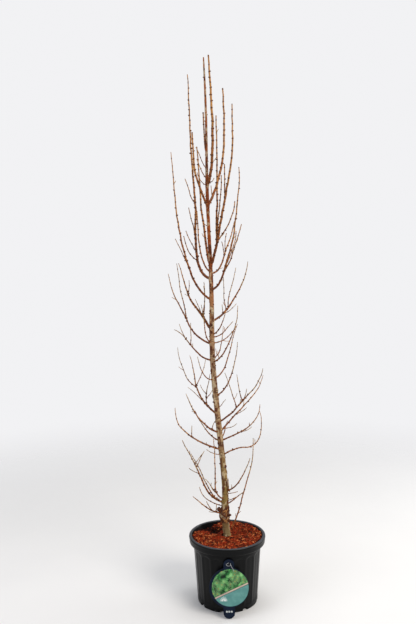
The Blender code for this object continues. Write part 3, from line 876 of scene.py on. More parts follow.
@dataclass
class Growth:
    """Grows every stem from the trunk by the rule of the plain solids, and on to finer twigs."""

    trunk_y: float = 0.012
    # Height, drift to the side and radius of the trunk, from the mulch to its tip
    stations: tuple[Triple, ...] = (
        (0.249, 0.0000, 0.0146), (0.258, -0.0012, 0.0137), (0.275, -0.0035, 0.0134),
        (0.305, -0.005, 0.0140), (0.325, -0.006, 0.0150), (0.350, -0.006, 0.0145),
        (0.365, -0.006, 0.0131), (0.440, -0.0057, 0.0122), (0.540, -0.0138, 0.0113),
        (0.640, -0.0239, 0.0112), (0.740, -0.0335, 0.0111), (0.840, -0.0426, 0.0108),
        (0.940, -0.0496, 0.0102), (1.040, -0.0513, 0.0096), (1.140, -0.0504, 0.0087),
        (1.240, -0.0517, 0.0079), (1.340, -0.0545, 0.0069), (1.440, -0.059, 0.0062),
        (1.540, -0.0625, 0.0056), (1.640, -0.064, 0.0051), (1.740, -0.0638, 0.0047),
        (1.840, -0.0642, 0.0044), (1.940, -0.0665, 0.0039), (2.030, -0.0700, 0.0032),
        (2.066, -0.0715, 0.0022),
    )
    foot_gap: float = 0.0005
    # Height on the trunk, and radius of the tip of a limb that starts there
    tip_radii: tuple[Pair, ...] = (
        (0.25, 0.0013), (0.55, 0.0011), (0.75, 0.0009), (1.15, 0.0011), (1.35, 0.0021),
        (1.60, 0.0028),
    )
    step: float = 0.028
    fine_steps: int = 8
    foot_out: float = 1.2
    root_depth: float = 0.5
    tip_most: float = 0.9
    taper_power: float = 0.8
    crowd_row: float = 0.003
    first_node: Pair = (0.012, 0.022)
    last_node: float = 0.006
    node_spacing: Pair = (0.017, 0.027)
    turn_stray: float = 12.0
    twiglet_chance: float = 0.11
    twiglet_shares: Pair = (0.12, 0.9)
    twiglet_lengths: Pair = (0.010, 0.034)
    twiglet_radius: float = 0.0015
    twiglet_bend: float = 22.0
    # Shares of sideways, onward and upward in a twiglet's heading
    splay: Triple = (0.85, 0.55, 0.15)
    bearer_length: float = 0.09
    clearance: float = 0.0052
    search: float = 0.0062
    kink: float = 0.0006
    kink_spacing: float = 0.022
    seed: int = 7
    stems: dict[str, Stem] = field(default_factory=dict)
    # Stem, share of its length, turn round it, and whether a twiglet grows there
    nodes: list[tuple[str, float, float, bool]] = field(default_factory=list)

    def trunk_at(self, height: float) -> tuple[np.ndarray, float]:
        """Gives the centre and radius of the trunk at a height."""
        heights, drifts, radii = zip(*self.stations)
        centre = np.array([np.interp(height, heights, drifts), self.trunk_y, height])
        return centre, float(np.interp(height, heights, radii))

    def way(
        self, start: np.ndarray, turn: float, length: float, climbs: Sequence[float]
    ) -> tuple[np.ndarray, np.ndarray]:
        """Walks a centre line from its foot.

        Args:
            start: Foot of the stem.
            turn: Compass turn in degrees.
            length: Length of the stem.
            climbs: Climb in degrees along the way.

        Returns:
            The rule's own points, and all the points of the walk.
        """
        fine = self.fine_steps * max(4, math.ceil(length / self.step))
        share = (np.arange(fine) + 0.5) / fine
        climb = np.radians(np.interp(share * (len(climbs) - 1), range(len(climbs)), climbs))
        angle = math.radians(turn)
        flat = np.cos(climb)
        out = np.stack([flat * math.cos(angle), flat * math.sin(angle), np.sin(climb)], 1)
        line = np.vstack([start, start + np.cumsum(out * length / fine, axis=0)])
        return line[::self.fine_steps], line

    @staticmethod
    def point_at(line: np.ndarray, share: float) -> np.ndarray:
        """Gives the point at a share of a line of evenly counted points."""
        place = share * (len(line) - 1)
        lower = min(int(place), len(line) - 2)
        return line[lower] + (line[lower + 1] - line[lower]) * (place - lower)

    def taper(self, limb: str, foot: float, count: int) -> np.ndarray:
        """Gives the radii of a stem from its foot to its tip.

        Args:
            limb: The limb that it is or grows from, whose height gives the tip.
            foot: Radius at the foot.
            count: Number of points.

        Returns:
            The radii.
        """
        height = (LIMBS.get(limb) or FINE_LIMBS[limb])[0]
        tip = min(float(np.interp(height, *zip(*self.tip_radii))), foot * self.tip_most)
        rest = 1 - np.linspace(0, 1, count)
        return tip + (foot - tip) * rest**self.taper_power

    def add_limb(self, name: str, rule: tuple, bare: float) -> None:
        """Grows one limb straight from the trunk."""
        height, turn, length, climbs, radius = rule
        centre, trunk_radius = self.trunk_at(height)
        out = spoke(math.radians(turn))
        foot = centre + out * (trunk_radius + self.foot_gap)
        coarse, line = self.way(foot + out * radius * self.foot_out, turn, length, climbs)
        coarse = np.vstack([foot, coarse])
        line = np.vstack([centre + out * trunk_radius * self.root_depth, foot, line])
        radii = self.taper(name, radius, len(line))
        self.stems[name] = Stem(name, name, 0, coarse, line, radii, bare)

    def add_shoot(self, name: str, parent: str, rule: tuple, rank: int) -> None:
        """Grows one side shoot from its parent."""
        share, turn, length, climbs, radius = rule
        start = self.point_at(self.stems[parent].coarse, share)
        coarse, line = self.way(start, turn, length, climbs)
        family = self.stems[parent].family
        radii = self.taper(family, radius, len(line))
        self.stems[name] = Stem(name, family, rank, coarse, line, radii)

    def grow(self) -> None:
        """Grows limbs, side shoots and the finest twigs, then kinks them at their nodes."""
        for name, (*rule, bare) in LIMBS.items():
            self.add_limb(name, tuple(rule), bare)
        for name, rule in FINE_LIMBS.items():
            self.add_limb(name, rule, 0.0)
        for name, (parent, *rule) in SHOOTS.items():
            self.add_shoot(name, parent, tuple(rule), self.stems[parent].rank + 1)
        self.grow_twiglets()
        dice = np.random.default_rng(self.seed)
        for stem in self.stems.values():
            self.kink_at_nodes(stem, dice)

    def crowd(self) -> tuple[KDTree, list[str]]:
        """Gives a search tree of every stem's points with the family of each."""
        points = [(point, stem.family) for stem in self.stems.values() for point in stem.line]
        heights = np.arange(self.stations[0][0], self.stations[-1][0], self.crowd_row)
        points += [(self.trunk_at(height)[0], "trunk") for height in heights]
        tree = KDTree(len(points))
        for index, (point, _) in enumerate(points):
            tree.insert(point, index)
        tree.balance()
        return tree, [family for _, family in points]

    def grow_twiglets(self) -> None:
        """Marks the nodes of each stem, and grows a short twig from some of them."""
        dice = random.Random(self.seed)
        tree, owners = self.crowd()
        for stem in list(self.stems.values()):
            length = stem.length()
            gone = stem.bare * length * 0.3 + dice.uniform(*self.first_node)
            turn = dice.uniform(0, 360)
            least, most = self.twiglet_shares
            while gone < length - self.last_node:
                share = gone / length
                bears = length > self.bearer_length and least < share < most
                grown = bears and dice.random() < self.twiglet_chance
                if grown:
                    grown = self.add_twiglet(stem, share, turn, dice, tree, owners)
                self.nodes.append((stem.name, share, turn, grown))
                gone += dice.uniform(*self.node_spacing)
                turn += LEAF_TURN + dice.uniform(-self.turn_stray, self.turn_stray)

    def add_twiglet(
        self,
        stem: Stem,
        share: float,
        turn: float,
        dice: random.Random,
        tree: KDTree,
        owners: list[str],
    ) -> bool:
        """Grows one fine twig, unless it would come near another limb.

        Args:
            stem: The stem that it grows from.
            share: Share of the stem's length.
            turn: Its turn round the stem.
            dice: Source of its length and climb.
            tree: Search tree of all stems.
            owners: Family of each point in the tree.

        Returns:
            Whether it grew.
        """
        point, heading, radius = stem.at(share)
        side = around(heading, turn)
        aside, onward, upward = self.splay
        out = unit(side * aside + heading * onward + np.array(UP) * upward)
        length = dice.uniform(*self.twiglet_lengths) * (1.1 - 0.5 * share)
        climb = math.degrees(math.asin(np.clip(out[2], -0.99, 0.99)))
        bend = (climb, climb + self.twiglet_bend)
        rule = (math.degrees(math.atan2(out[1], out[0])), length, bend)
        _, line = self.way(point, *rule)
        low, high = (np.array(corner) for corner in CAD_BOX)
        if (line[-1] < low).any() or (line[-1] > high).any():
            return False
        for spot in line[len(line) // 3:]:
            for _, index, away in tree.find_range(spot, self.search):
                if owners[index] != stem.family and away < self.clearance:
                    return False
        name = f"{stem.name}_t{round(share * 1000)}"
        foot = min(radius * 0.75, self.twiglet_radius)
        radii = foot * (1 - 0.35 * np.linspace(0, 1, len(line)))
        self.stems[name] = Stem(name, stem.family, 3, line[::self.fine_steps], line, radii)
        return True

    def kink_at_nodes(self, stem: Stem, dice: np.random.Generator) -> None:
        """Bends a stem a little from node to node, and leaves its foot where it is."""
        shares = stem.shares()
        count = max(3, round(stem.length() / self.kink_spacing))
        knots = np.linspace(0, 1, count)
        strays = dice.normal(0, self.kink, (count, 3))
        strays[0] = 0
        if stem.rank == 0:
            strays[1] *= 0.4
        wander = np.stack([np.interp(shares, knots, strays[:, axis]) for axis in range(3)], 1)
        stem.line = stem.line + wander


def around(heading: np.ndarray, turn: float) -> np.ndarray:
    """Gives the direction square to a heading at a turn round it, in degrees."""
    first = np.cross(heading, UP)
    if np.linalg.norm(first) < 0.05:
        first = np.cross(heading, (0.0, 1.0, 0.0))
    first = unit(first)
    second = np.cross(heading, first)
    angle = math.radians(turn)
    return first * math.cos(angle) + second * math.sin(angle)


def frame_along(axis: np.ndarray, turn: float) -> np.ndarray:
    """Gives a turning matrix that stands a shape's Z along an axis, spun by a turn in degrees."""
    side = around(axis, turn)
    return np.stack([side, np.cross(axis, side), axis], 1)


# ---------------------------------------------------------------- trunk


@dataclass(frozen=True)
class Grain:
    """A field of soft bumps on a stem: how close they lie round it and along it."""

    around: float
    along: float
    shift: Pair = (0.0, 0.0)

    def at(self, out: Vector, height: float) -> float:
        """Gives the bump, from -1 to 1, in a direction at a height."""
        return noise.noise(out * self.around + Vector((*self.shift, height * self.along)))


class Small(Enum):
    """Small ringed shapes along +Z: sides, radius of the foot, and rows of rise and growth."""

    KNOT = (12, 1.25, ((0.45, 0.80), (0.35, 0.78), (0.12, 0.66), (-0.10, 0.60)))
    SPUR = (6, 0.0021, (
        (0.0009, 0.86), (0.0005, 1.22), (0.0006, 0.90), (0.0007, 1.12), (0.0006, 0.86),
        (0.0005, 0.45),
    ))
    BUD = (6, 0.0009, ((0.0006, 1.45), (0.0008, 1.02), (0.0009, 0.66), (0.0006, 0.35)))

    def model(self) -> Shape:
        """Models the shape."""
        sides, radius, rows = self.value
        bench = Bench.on_disc(self.name.lower(), sides, radius)
        return Shape.taken_from(bench.stack(rows).close(None))


@dataclass
class Trunk:
    """The one stem: root flare, swollen graft, taper, collars under the limbs and bark relief."""

    growth: Growth
    finish: Material
    scar_finish: Material
    cork_finish: Material
    sides: int = 36
    row: float = 0.005
    seat_gap: float = 0.0003
    flare: float = 0.12
    flare_height: float = 0.02
    # Height and spread of the graft's swelling
    graft: Pair = (0.331, 0.026)
    graft_side: float = 205.0
    graft_bulge: float = 0.0080
    graft_lumps: float = 0.0024
    fissure: float = 0.07
    ridges: Grain = Grain(2.4, 34)
    fine: Grain = Grain(6.0, 60, (3, 7))
    lumps: Grain = Grain(1.6, 75, (5, 1))
    wrinkle: float = 0.00028
    wrinkles_along: float = 420.0
    collar: float = 0.85
    collar_reach: float = 0.016
    collar_span: float = 1.5
    collar_fade_radius: float = 0.006
    # Height and spread of the stouter stretch under the top
    shoulder: Pair = (1.56, 0.11)
    shoulder_swell: float = 0.0009
    spur_seed: int = 41
    spur_heights: Pair = (0.395, 2.055)
    spur_spacing: Pair = (0.020, 0.042)
    spur_sizes: Pair = (0.8, 1.25)
    spur_sunk: float = 0.86
    knot_seed: int = 17
    knot_heights: Pair = (0.385, 1.95)
    knot_spacing: Pair = (0.020, 0.038)
    knot_girths: Pair = (0.28, 0.50)
    knot_sunk: float = 0.93
    front: float = -math.pi / 2
    stub_grain: float = 260.0
    stub_rough: float = 0.16
    stub_seed: int = 7
    strand_heights: Pair = (0.300, 0.352)
    strand_rises: Pair = (0.006, 0.024)
    strand_girths: Pair = (0.0011, 0.0024)
    strand_swing: float = 1.5
    strand_out: float = 1.06
    strand_sides: int = 7
    strand_rough: float = 0.22

    def build(self) -> None:
        """Builds the stem, its scars and knots and the pruned stubs and strands at the graft."""
        made = self.raise_stem()
        self.carve(made)
        settle(made, self.finish, ("trunk",))
        self.spurs()
        self.knots()
        self.stubs()
        self.strands("graft_ridges", self.scar_finish, count=40, seed=3)
        self.strands("graft_cork", self.cork_finish, count=22, seed=8)

    def raise_stem(self) -> Object:
        """Extrudes a ring up the stations and cuts each stretch into rows."""
        stations = self.growth.stations
        base = stations[0][0] + self.seat_gap
        first, radius = self.growth.trunk_at(stations[0][0])
        bench = Bench.on_disc("trunk_bark_mesh", self.sides, radius, (first[0], first[1], base))
        for (low, drift, near), (high, sway, far) in zip(stations, stations[1:]):
            centre = (sway, self.growth.trunk_y, high)
            bench.extrude((sway - drift, 0.0, high - max(low, base)), far / near, centre)
        for (low, *_), (high, *_) in zip(stations, stations[1:]):
            cuts = round((high - low) / self.row) - 1
            if cuts > 0:
                self.cut_rows(bench, low, high, cuts)
        return bench.close(60.0)

    @staticmethod
    def cut_rows(bench: Bench, low: float, high: float, cuts: int) -> None:
        """Cuts the upright edges between two heights into rows."""
        slack = 0.001
        bpy.ops.mesh.select_mode(type="EDGE")
        bpy.ops.mesh.select_all(action="DESELECT")
        shape = bmesh.from_edit_mesh(bench.object.data)
        for edge in shape.edges:
            ends = sorted(point.co.z for point in edge.verts)
            upright = ends[1] - ends[0] > 0.9 * (high - low) - slack
            edge.select_set(upright and abs(sum(ends) / 2 - (low + high) / 2) < slack)
        bmesh.update_edit_mesh(bench.object.data)
        bpy.ops.mesh.subdivide(number_cuts=cuts, quadcorner="INNERVERT")

    def carve(self, made: Object) -> None:
        """Moves each point of the stem outwards or inwards by the bark's relief."""
        rows = [*LIMBS.values(), *FINE_LIMBS.values()]
        collars = [(height, math.radians(turn), girth) for height, turn, _, _, girth, *_ in rows]
        foot = self.growth.stations[0][0]
        for point in made.data.vertices:
            centre, radius = self.growth.trunk_at(max(foot, point.co.z))
            away = Vector((point.co.x - centre[0], point.co.y - centre[1], 0.0))
            angle = math.atan2(away.y, away.x)
            reach = self.relief(angle, point.co.z, radius, collars)
            low = max(0.0, 1 - (point.co.z - foot) / self.flare_height)
            reach += radius * self.flare * math.cos(3 * angle + 0.6) * low
            point.co += away.normalized() * reach

    def graft_swell(self, height: float) -> float:
        """Gives the share of the graft's full swelling at a height."""
        return math.exp(-((height - self.graft[0]) / self.graft[1]) ** 2)

    def bulge(self, angle: float, height: float) -> float:
        """Gives how far the graft swells out to its heavier side."""
        facing = max(0.0, math.cos(angle - math.radians(self.graft_side)))
        return self.graft_swell(height) * self.graft_bulge * facing**2

    def relief(self, angle: float, height: float, radius: float, collars: list[Triple]) -> float:
        """Gives how far the bark stands out at one place.

        Args:
            angle: Direction round the stem.
            height: Height.
            radius: Radius of the stem there.
            collars: Height, turn and radius of each limb's foot.

        Returns:
            The distance in metres.
        """
        out = Vector(spoke(angle))
        coarse, fine = self.ridges.at(out, height), self.fine.at(out, height)
        reach = radius * self.fissure * (coarse * 0.7 + fine * 0.5)
        reach += self.wrinkle * noise.noise(Vector((angle, 2.0, height * self.wrinkles_along)))
        middle, spread = self.shoulder
        reach += self.shoulder_swell * math.exp(-((height - middle) / spread) ** 2)
        swell = self.graft_swell(height)
        if swell > 0.01:
            lumps = self.lumps.at(out, height)
            reach += self.bulge(angle, height) + swell * self.graft_lumps * lumps
        for at, turn, girth in collars:
            rise = height - at
            if abs(rise) > self.collar_reach:
                continue
            swing = (angle - turn + math.pi) % (2 * math.pi) - math.pi
            spread = (self.collar_span * girth) ** 2
            below = spread * (2.4 if rise < 0 else 0.8)
            reach += self.collar * girth * math.exp(
                -(swing * radius) ** 2 / spread - rise**2 / below
            ) * min(1.0, radius / self.collar_fade_radius)
        return reach

    def spurs(self) -> None:
        """Stands dark dormant spurs on the stem, from the graft to the tip."""
        dice = random.Random(self.spur_seed)
        spur = Small.SPUR.model()
        heap = Heap()
        height, top = self.spur_heights
        turn = 0.0
        while height < top:
            centre, radius = self.growth.trunk_at(height)
            out = unit(spoke(turn, dice.uniform(0.1, 0.7)))
            size = dice.uniform(*self.spur_sizes)
            size *= np.interp(height, (0.4, 1.2, 2.0), (1.15, 1.0, 0.8))
            matrix = frame_along(out, dice.uniform(0, 360)) * size
            heap.copy(spur, matrix, centre + spoke(turn) * radius * self.spur_sunk)
            height += dice.uniform(*self.spur_spacing)
            turn += math.radians(LEAF_TURN) + dice.uniform(-0.5, 0.5)
        settle(heap.piece("trunk_spurs"), self.scar_finish)

    def knots(self) -> None:
        """Lays low dark knots on the stem, most of them on its front."""
        dice = random.Random(self.knot_seed)
        knot = Small.KNOT.model()
        heap = Heap()
        height, top = self.knot_heights
        while height < top:
            centre, radius = self.growth.trunk_at(height)
            turn = dice.gauss(self.front, 0.9) if dice.random() < 0.7 else dice.uniform(0, 6.3)
            out = spoke(turn)
            girth = radius * dice.uniform(*self.knot_girths)
            sizes = np.diag((girth * dice.uniform(1.0, 1.7), girth, girth * dice.uniform(0.35, 0.7)))
            stand = np.stack([UP, np.cross(out, UP), out], 1)
            heap.copy(knot, stand @ sizes, centre + out * radius * self.knot_sunk)
            height += dice.uniform(*self.knot_spacing)
        settle(heap.piece("trunk_knots"), self.scar_finish)

    def strands(self, name: str, finish: Material, count: int, seed: int) -> None:
        """Winds rough strands of bark over the swollen graft.

        Args:
            name: Name of the piece.
            finish: Their material.
            count: Number of strands.
            seed: Seed of their places.
        """
        dice = np.random.default_rng(seed)
        heap = Heap()
        shares = np.linspace(0, 1, 9)
        for _ in range(count):
            start, turn = dice.uniform(*self.strand_heights), dice.uniform(0, 2 * math.pi)
            rise = dice.uniform(*self.strand_rises)
            swing = dice.uniform(-self.strand_swing, self.strand_swing)
            line = []
            for share in shares:
                centre, radius = self.growth.trunk_at(start + rise * share)
                angle = turn + swing * share
                out = radius * self.strand_out + self.bulge(angle, centre[2])
                line.append(centre + spoke(angle) * out)
            girth = dice.uniform(*self.strand_girths)
            radii = girth * (0.35 + np.sin(shares * math.pi) ** 0.6)
            rings = ring_points(np.array(line), radii, self.strand_sides, self.strand_rough, dice)
            heap.rings(rings)
        settle(heap.piece(name), finish)

    def stubs(self) -> None:
        """Adds the pruned stubs of old shoots beside the graft."""
        # Height, turn, girth, length and climb of each, and the rise and growth of its rows
        stubs = (
            (0.338, 190, 0.0078, 0.029, 50), (0.328, 332, 0.0044, 0.015, 28),
            (0.316, 322, 0.0036, 0.011, -10), (0.352, 250, 0.0034, 0.008, 20),
            (0.312, 100, 0.0034, 0.007, 25), (0.345, 350, 0.0030, 0.008, 40),
        )
        rows = ((0.18, 0.78), (0.30, 0.92), (0.30, 1.03), (0.17, 0.98), (0.05, 0.8))
        sunken_end = (-0.0006, 0.72)
        # Vector noise is seeded by the clock unless it is given a seed
        noise.seed_set(self.stub_seed)
        for index, (height, turn, girth, length, climb) in enumerate(stubs):
            centre, radius = self.growth.trunk_at(height)
            heading = math.radians(turn)
            bench = Bench.on_disc(f"pruned_stub_{index}", 14, girth * 1.35)
            bench.stack([(rise * length, grow) for rise, grow in rows] + [sunken_end])
            made = bench.close(45.0)
            for point in made.data.vertices:
                shift = Vector((index * 9, 0, 0))
                wild = noise.noise_vector(point.co * self.stub_grain + shift)
                point.co += wild * girth * self.stub_rough
            lay = Euler((0.0, math.radians(90 - climb), heading)).to_matrix().to_4x4()
            place = Vector(centre) + Vector(spoke(heading)) * radius * 0.7
            made.data.transform(Matrix.Translation(place) @ lay)
            settle(made, self.scar_finish)


# ---------------------------------------------------------------- limbs and twigs


@dataclass
class Crown:
    """Every limb and twig as tapering tubes, joined by age, with its short shoots and buds."""

    growth: Growth
    finishes: dict[Age, Material]
    spur_finish: Material
    bud_finish: Material
    limb_sides: int = 9
    twig_sides: int = 6
    rough: float = 0.07
    # Share by which a stem's foot is thicker, and how far along
    foot_swell: Pair = (0.35, 0.006)
    tip_length: float = 0.05
    young_share: float = 0.25
    young_size: float = 0.8
    spur_sizes: Pair = (0.75, 1.15)
    spur_aside: float = 0.85
    spur_onward: Pair = (0.25, 0.6)
    spur_sunk: float = 0.7
    burr_count: tuple[int, int] = (2, 4)
    burr_girths: Pair = (1.25, 1.6)
    burr_sizes: Pair = (0.6, 0.95)
    burr_onward: Pair = (-0.3, 0.9)
    burr_stray: Pair = (-0.002, 0.003)
    burr_swell: float = 1.35
    band_swells: Pair = (1.12, 1.32)
    band_places: tuple[float, ...] = (-0.0029, -0.0011, 0.0011, 0.0029)
    band_edge: float = 0.98
    seed: int = 19

    def build(self) -> None:
        """Builds the tubes, short shoots and buds."""
        heaps = {age: Heap() for age in Age}
        held: dict[Age, set[str]] = {age: set() for age in Age}
        dice = np.random.default_rng(self.seed)
        for stem in self.growth.stems.values():
            self.swell(stem)
            sides = self.limb_sides if stem.rank == 0 else self.twig_sides
            rings = ring_points(stem.line, stem.radii, sides, self.rough, dice)
            for age, low, high in self.stretches(stem, dice):
                shares = stem.shares()
                first = int(np.searchsorted(shares, low, "right")) - 1 if low else 0
                last = int(np.searchsorted(shares, high, "left"))
                if last - first < 1:
                    continue
                heaps[age].rings(rings[first:last + 1])
                held[age].add(stem.family)
        for age, heap in heaps.items():
            prefix, slot = ("bough_", "bough_bark") if age is Age.BOUGH else ("twigs_", "twig_bark")
            nodes = [prefix + family for family in sorted(held[age]) if family in LIMBS]
            settle(heap.piece(age.value), self.finishes[age], nodes)
        self.stand_spurs()

    def swell(self, stem: Stem) -> None:
        """Thickens a stem's foot where it joins its parent."""
        share, reach = self.foot_swell
        gone = stem.shares() * stem.length()
        stem.radii = stem.radii * (1 + share * np.exp(-((gone / reach) ** 2)))

    @staticmethod
    def stretches(stem: Stem, dice: np.random.Generator) -> list[tuple[Age, float, float]]:
        """Deals a stem's length out to ages, from foot to tip.

        Args:
            stem: The stem.
            dice: Source of the small shifts between stems.

        Returns:
            Age, first share and last share of each stretch.
        """
        shift = float(dice.uniform(-0.07, 0.07))
        high = stem.line[0][2] > 1.15
        if stem.rank >= 3:
            return [(Age.FINE if dice.random() < 0.6 else Age.YOUNG, 0.0, 1.0)]
        if stem.rank >= 1:
            turn = 0.35 + shift
            first = Age.RIPE if high or dice.random() < 0.5 else Age.OLD
            return [(first, 0.0, turn), (Age.YOUNG if high else Age.FINE, turn, 1.0)]
        first = stem.bare
        rows = [(Age.BOUGH, 0.0, first)] if first else []
        marks = (0.22, 0.50) if high else (0.34, 0.62)
        old, ripe = (max(first, mark + shift) for mark in marks)
        if old > first:
            rows.append((Age.OLD, first, old))
        ripe = max(ripe, old + 0.1)
        rows.append((Age.RIPE, old, ripe))
        rows.append((Age.YOUNG if high or dice.random() < 0.55 else Age.FINE, ripe, 1.0))
        return rows

    def stand_spurs(self) -> None:
        """Stands a short shoot or a bud on each node, and a bud on each tip."""
        dice = random.Random(self.seed)
        spur, bud = Small.SPUR.model(), Small.BUD.model()
        spurs, buds = Heap(), Heap()
        for name, share, turn, grown in self.growth.nodes:
            stem = self.growth.stems[name]
            point, heading, radius = stem.at(share)
            side = around(heading, turn)
            axis = unit(side * self.spur_aside + heading * dice.uniform(*self.spur_onward))
            left = (1 - share) * stem.length()
            young = left < self.tip_length or dice.random() < self.young_share
            size = dice.uniform(*self.spur_sizes)
            size *= self.young_size if young else np.interp(left, (0, 0.4), (0.8, 1.15))
            matrix = frame_along(axis, dice.uniform(0, 360)) * size * self.bulk(radius)
            spurs.rings(self.band(point, heading, radius, dice.uniform(*self.band_swells)))
            if not grown:
                heap, shape = (buds, bud) if young else (spurs, spur)
                heap.copy(shape, matrix, point + side * radius * self.spur_sunk)
        for stem in self.growth.stems.values():
            if 1 <= stem.rank <= 2:
                self.burr(stem, spurs, spur, dice)
            _, heading, radius = stem.at(1.0)
            size = dice.uniform(0.8, 1.1) * max(0.8, radius / 0.0011)
            buds.copy(bud, frame_along(heading, 0.0) * size, stem.line[-1] - heading * 0.0008)
        settle(spurs.piece("short_shoots"), self.spur_finish)
        settle(buds.piece("buds"), self.bud_finish)

    def burr(self, stem: Stem, spurs: Heap, spur: Shape, dice: random.Random) -> None:
        """Crowds a dark scaly burr round the foot of a side shoot."""
        point, heading, radius = stem.at(0.02)
        girth = radius * dice.uniform(*self.burr_girths)
        spurs.rings(self.band(point, heading, girth, self.burr_swell))
        for _ in range(dice.randint(*self.burr_count)):
            side = around(heading, dice.uniform(0, 360))
            axis = unit(side + heading * dice.uniform(*self.burr_onward))
            size = dice.uniform(*self.burr_sizes) * self.bulk(girth)
            matrix = frame_along(axis, dice.uniform(0, 360)) * size
            along = heading * dice.uniform(*self.burr_stray)
            spurs.copy(spur, matrix, point + along + side * girth * self.spur_sunk)

    @staticmethod
    def bulk(radius: float) -> float:
        """Gives the size of a short shoot or bud on a stem of that radius."""
        return float(np.interp(radius, (0.0010, 0.0024), (0.72, 1.15)))

    def band(
        self, point: np.ndarray, heading: np.ndarray, radius: float, swell: float
    ) -> np.ndarray:
        """Gives the rings of the dark scaly swelling round a stem at a node."""
        line = point + np.outer(self.band_places, heading)
        radii = radius * np.array([self.band_edge, swell, swell * 0.97, self.band_edge])
        return ring_points(line, radii, 6, 0.1, np.random.default_rng(int(point[2] * 1e5)))


# ---------------------------------------------------------------- pot


@dataclass
class Pot:
    """The round pot: flared wall with arched flutes, rolled lip, drain slots and inside."""

    finish: Material
    sides: int = 216
    height: float = 0.260
    base_radius: float = 0.116
    shoulder_radius: float = 0.131
    shoulder_height: float = 0.231
    lip_radius: float = 0.148
    mouth_radius: float = 0.137
    wall: float = 0.003
    floor: float = 0.004
    flutes: int = 18
    flute_depth: float = 0.0019
    flute_low: float = 0.018
    flute_high: float = 0.196
    flute_arch: float = 0.019
    flute_rise: float = 0.006
    flute_fall: float = 0.005
    near_wall: float = 0.0008
    rim_gap: float = 0.008
    slots: int = 8
    slot_first: float = -57.0
    slot_width: float = 0.020
    slot_depth: float = 0.020
    slot_height: float = 0.011
    slot_reach: float = 0.112

    def outside(self, height: float) -> float:
        """Gives the wall's outer radius at a height below the lip."""
        share = height / self.shoulder_height
        return self.base_radius + (self.shoulder_radius - self.base_radius) * share

    def inside(self, height: float) -> float:
        """Gives the mouth's inner radius at a height above the shoulder."""
        heights = (0.226, 0.238, 0.254, 0.258)
        radii = (self.outside(0.226) - self.wall, self.mouth_radius - 0.0050,
                 self.mouth_radius - 0.0010, self.mouth_radius)
        return float(np.interp(height, heights, radii))

    def rows(self) -> list[Pair]:
        """Gives the height and radius of each ring, up the outside and down the inside."""
        lip, top, mouth = self.lip_radius, self.height, self.mouth_radius
        low = [(0.0, self.base_radius - 0.0015), (0.0010, self.base_radius - 0.0004)]
        wall = [0.004, 0.010, 0.014, 0.017, 0.020, 0.023, 0.028, 0.060, 0.095, 0.130, 0.165]
        wall += [0.186 + 0.0022 * k for k in range(16)]
        outer = [(h, self.outside(h)) for h in wall]
        outer += [(0.2250, self.outside(0.2250)), (0.2290, self.outside(0.2290) + 0.0002)]
        roll = [
            (0.2308, self.shoulder_radius + 0.0010), (0.2314, lip - 0.0085), (0.2310, lip - 0.0060),
            (0.2316, lip - 0.0040), (0.2332, lip - 0.0026), (0.2360, lip - 0.0018),
            (0.2440, lip - 0.0012), (0.2500, lip - 0.0009), (0.2524, lip - 0.0001),
            (0.2548, lip + 0.0002), (0.2574, lip - 0.0004), (0.2592, lip - 0.0017),
            (top, lip - 0.0035), (top, mouth + 0.0026), (0.2596, mouth + 0.0010),
            (0.2582, mouth), (0.2540, mouth - 0.0008), (0.2380, mouth - 0.0050),
        ]
        inner = [(0.2290, self.shoulder_radius - self.wall + 0.0006)]
        inner += [(h, self.outside(h) - self.wall) for h in (0.222, 0.200, 0.150, 0.100, 0.050)]
        corner = self.outside(self.floor) - self.wall
        inner += [(self.floor + 0.0010, corner - 0.0006), (self.floor, corner - 0.0025)]
        return low + outer + roll + inner

    def build(self) -> None:
        """Extrudes the wall ring by ring, presses the flutes and cuts the drain slots."""
        made = Bench.turned("nursery_pot", self.sides, self.rows()).close(35.0)
        self.press_flutes(made)
        self.cut_slots(made)
        settle(made, self.finish, ("pot",))

    def press_flutes(self, made: Object) -> None:
        """Presses the flutes into the outside, each with an arched top."""
        for point in made.data.vertices:
            reach = math.hypot(point.co.x, point.co.y)
            z = point.co.z
            beside = abs(reach - self.outside(z)) > self.near_wall
            if beside or z > self.shoulder_height - self.rim_gap:
                continue
            phase = (math.atan2(point.co.y, point.co.x) * self.flutes / (2 * math.pi)) % 1.0
            across = math.sin(math.pi * phase)
            top = self.flute_high + self.flute_arch * math.sqrt(across)
            rise = smooth_step((z - self.flute_low) / self.flute_rise)
            fall = smooth_step((top - z) / self.flute_fall)
            dent = self.flute_depth * smooth_step(across * 1.5) * rise * fall
            share = (reach - dent) / reach
            point.co.x *= share
            point.co.y *= share

    def cut_slots(self, made: Object) -> None:
        """Cuts the drain slots through the foot of the wall."""
        for slot in range(self.slots):
            turn = math.radians(self.slot_first - 90 + 360 / self.slots * slot)
            cutter = Bench(
                f"slot_{slot}", bpy.ops.mesh.primitive_cube_add, size=1.0,
                location=tuple(self.slot_reach * spoke(turn)), rotation=(0.0, 0.0, turn),
                scale=(self.slot_depth, self.slot_width, 2 * self.slot_height),
            )
            combine(made, cutter.close(None), "DIFFERENCE")


def smooth_step(share: float) -> float:
    """Rises smoothly from 0 to 1 as the share does."""
    share = min(1.0, max(0.0, share))
    return share * share * (3 - 2 * share)


# ---------------------------------------------------------------- mulch


class ChipTone(Enum):
    """Tone of the bark chips, which gives their piece."""

    RUST = "rust_chips"
    DARK = "dark_chips"
    RED = "red_chips"
    PALE = "pale_chips"


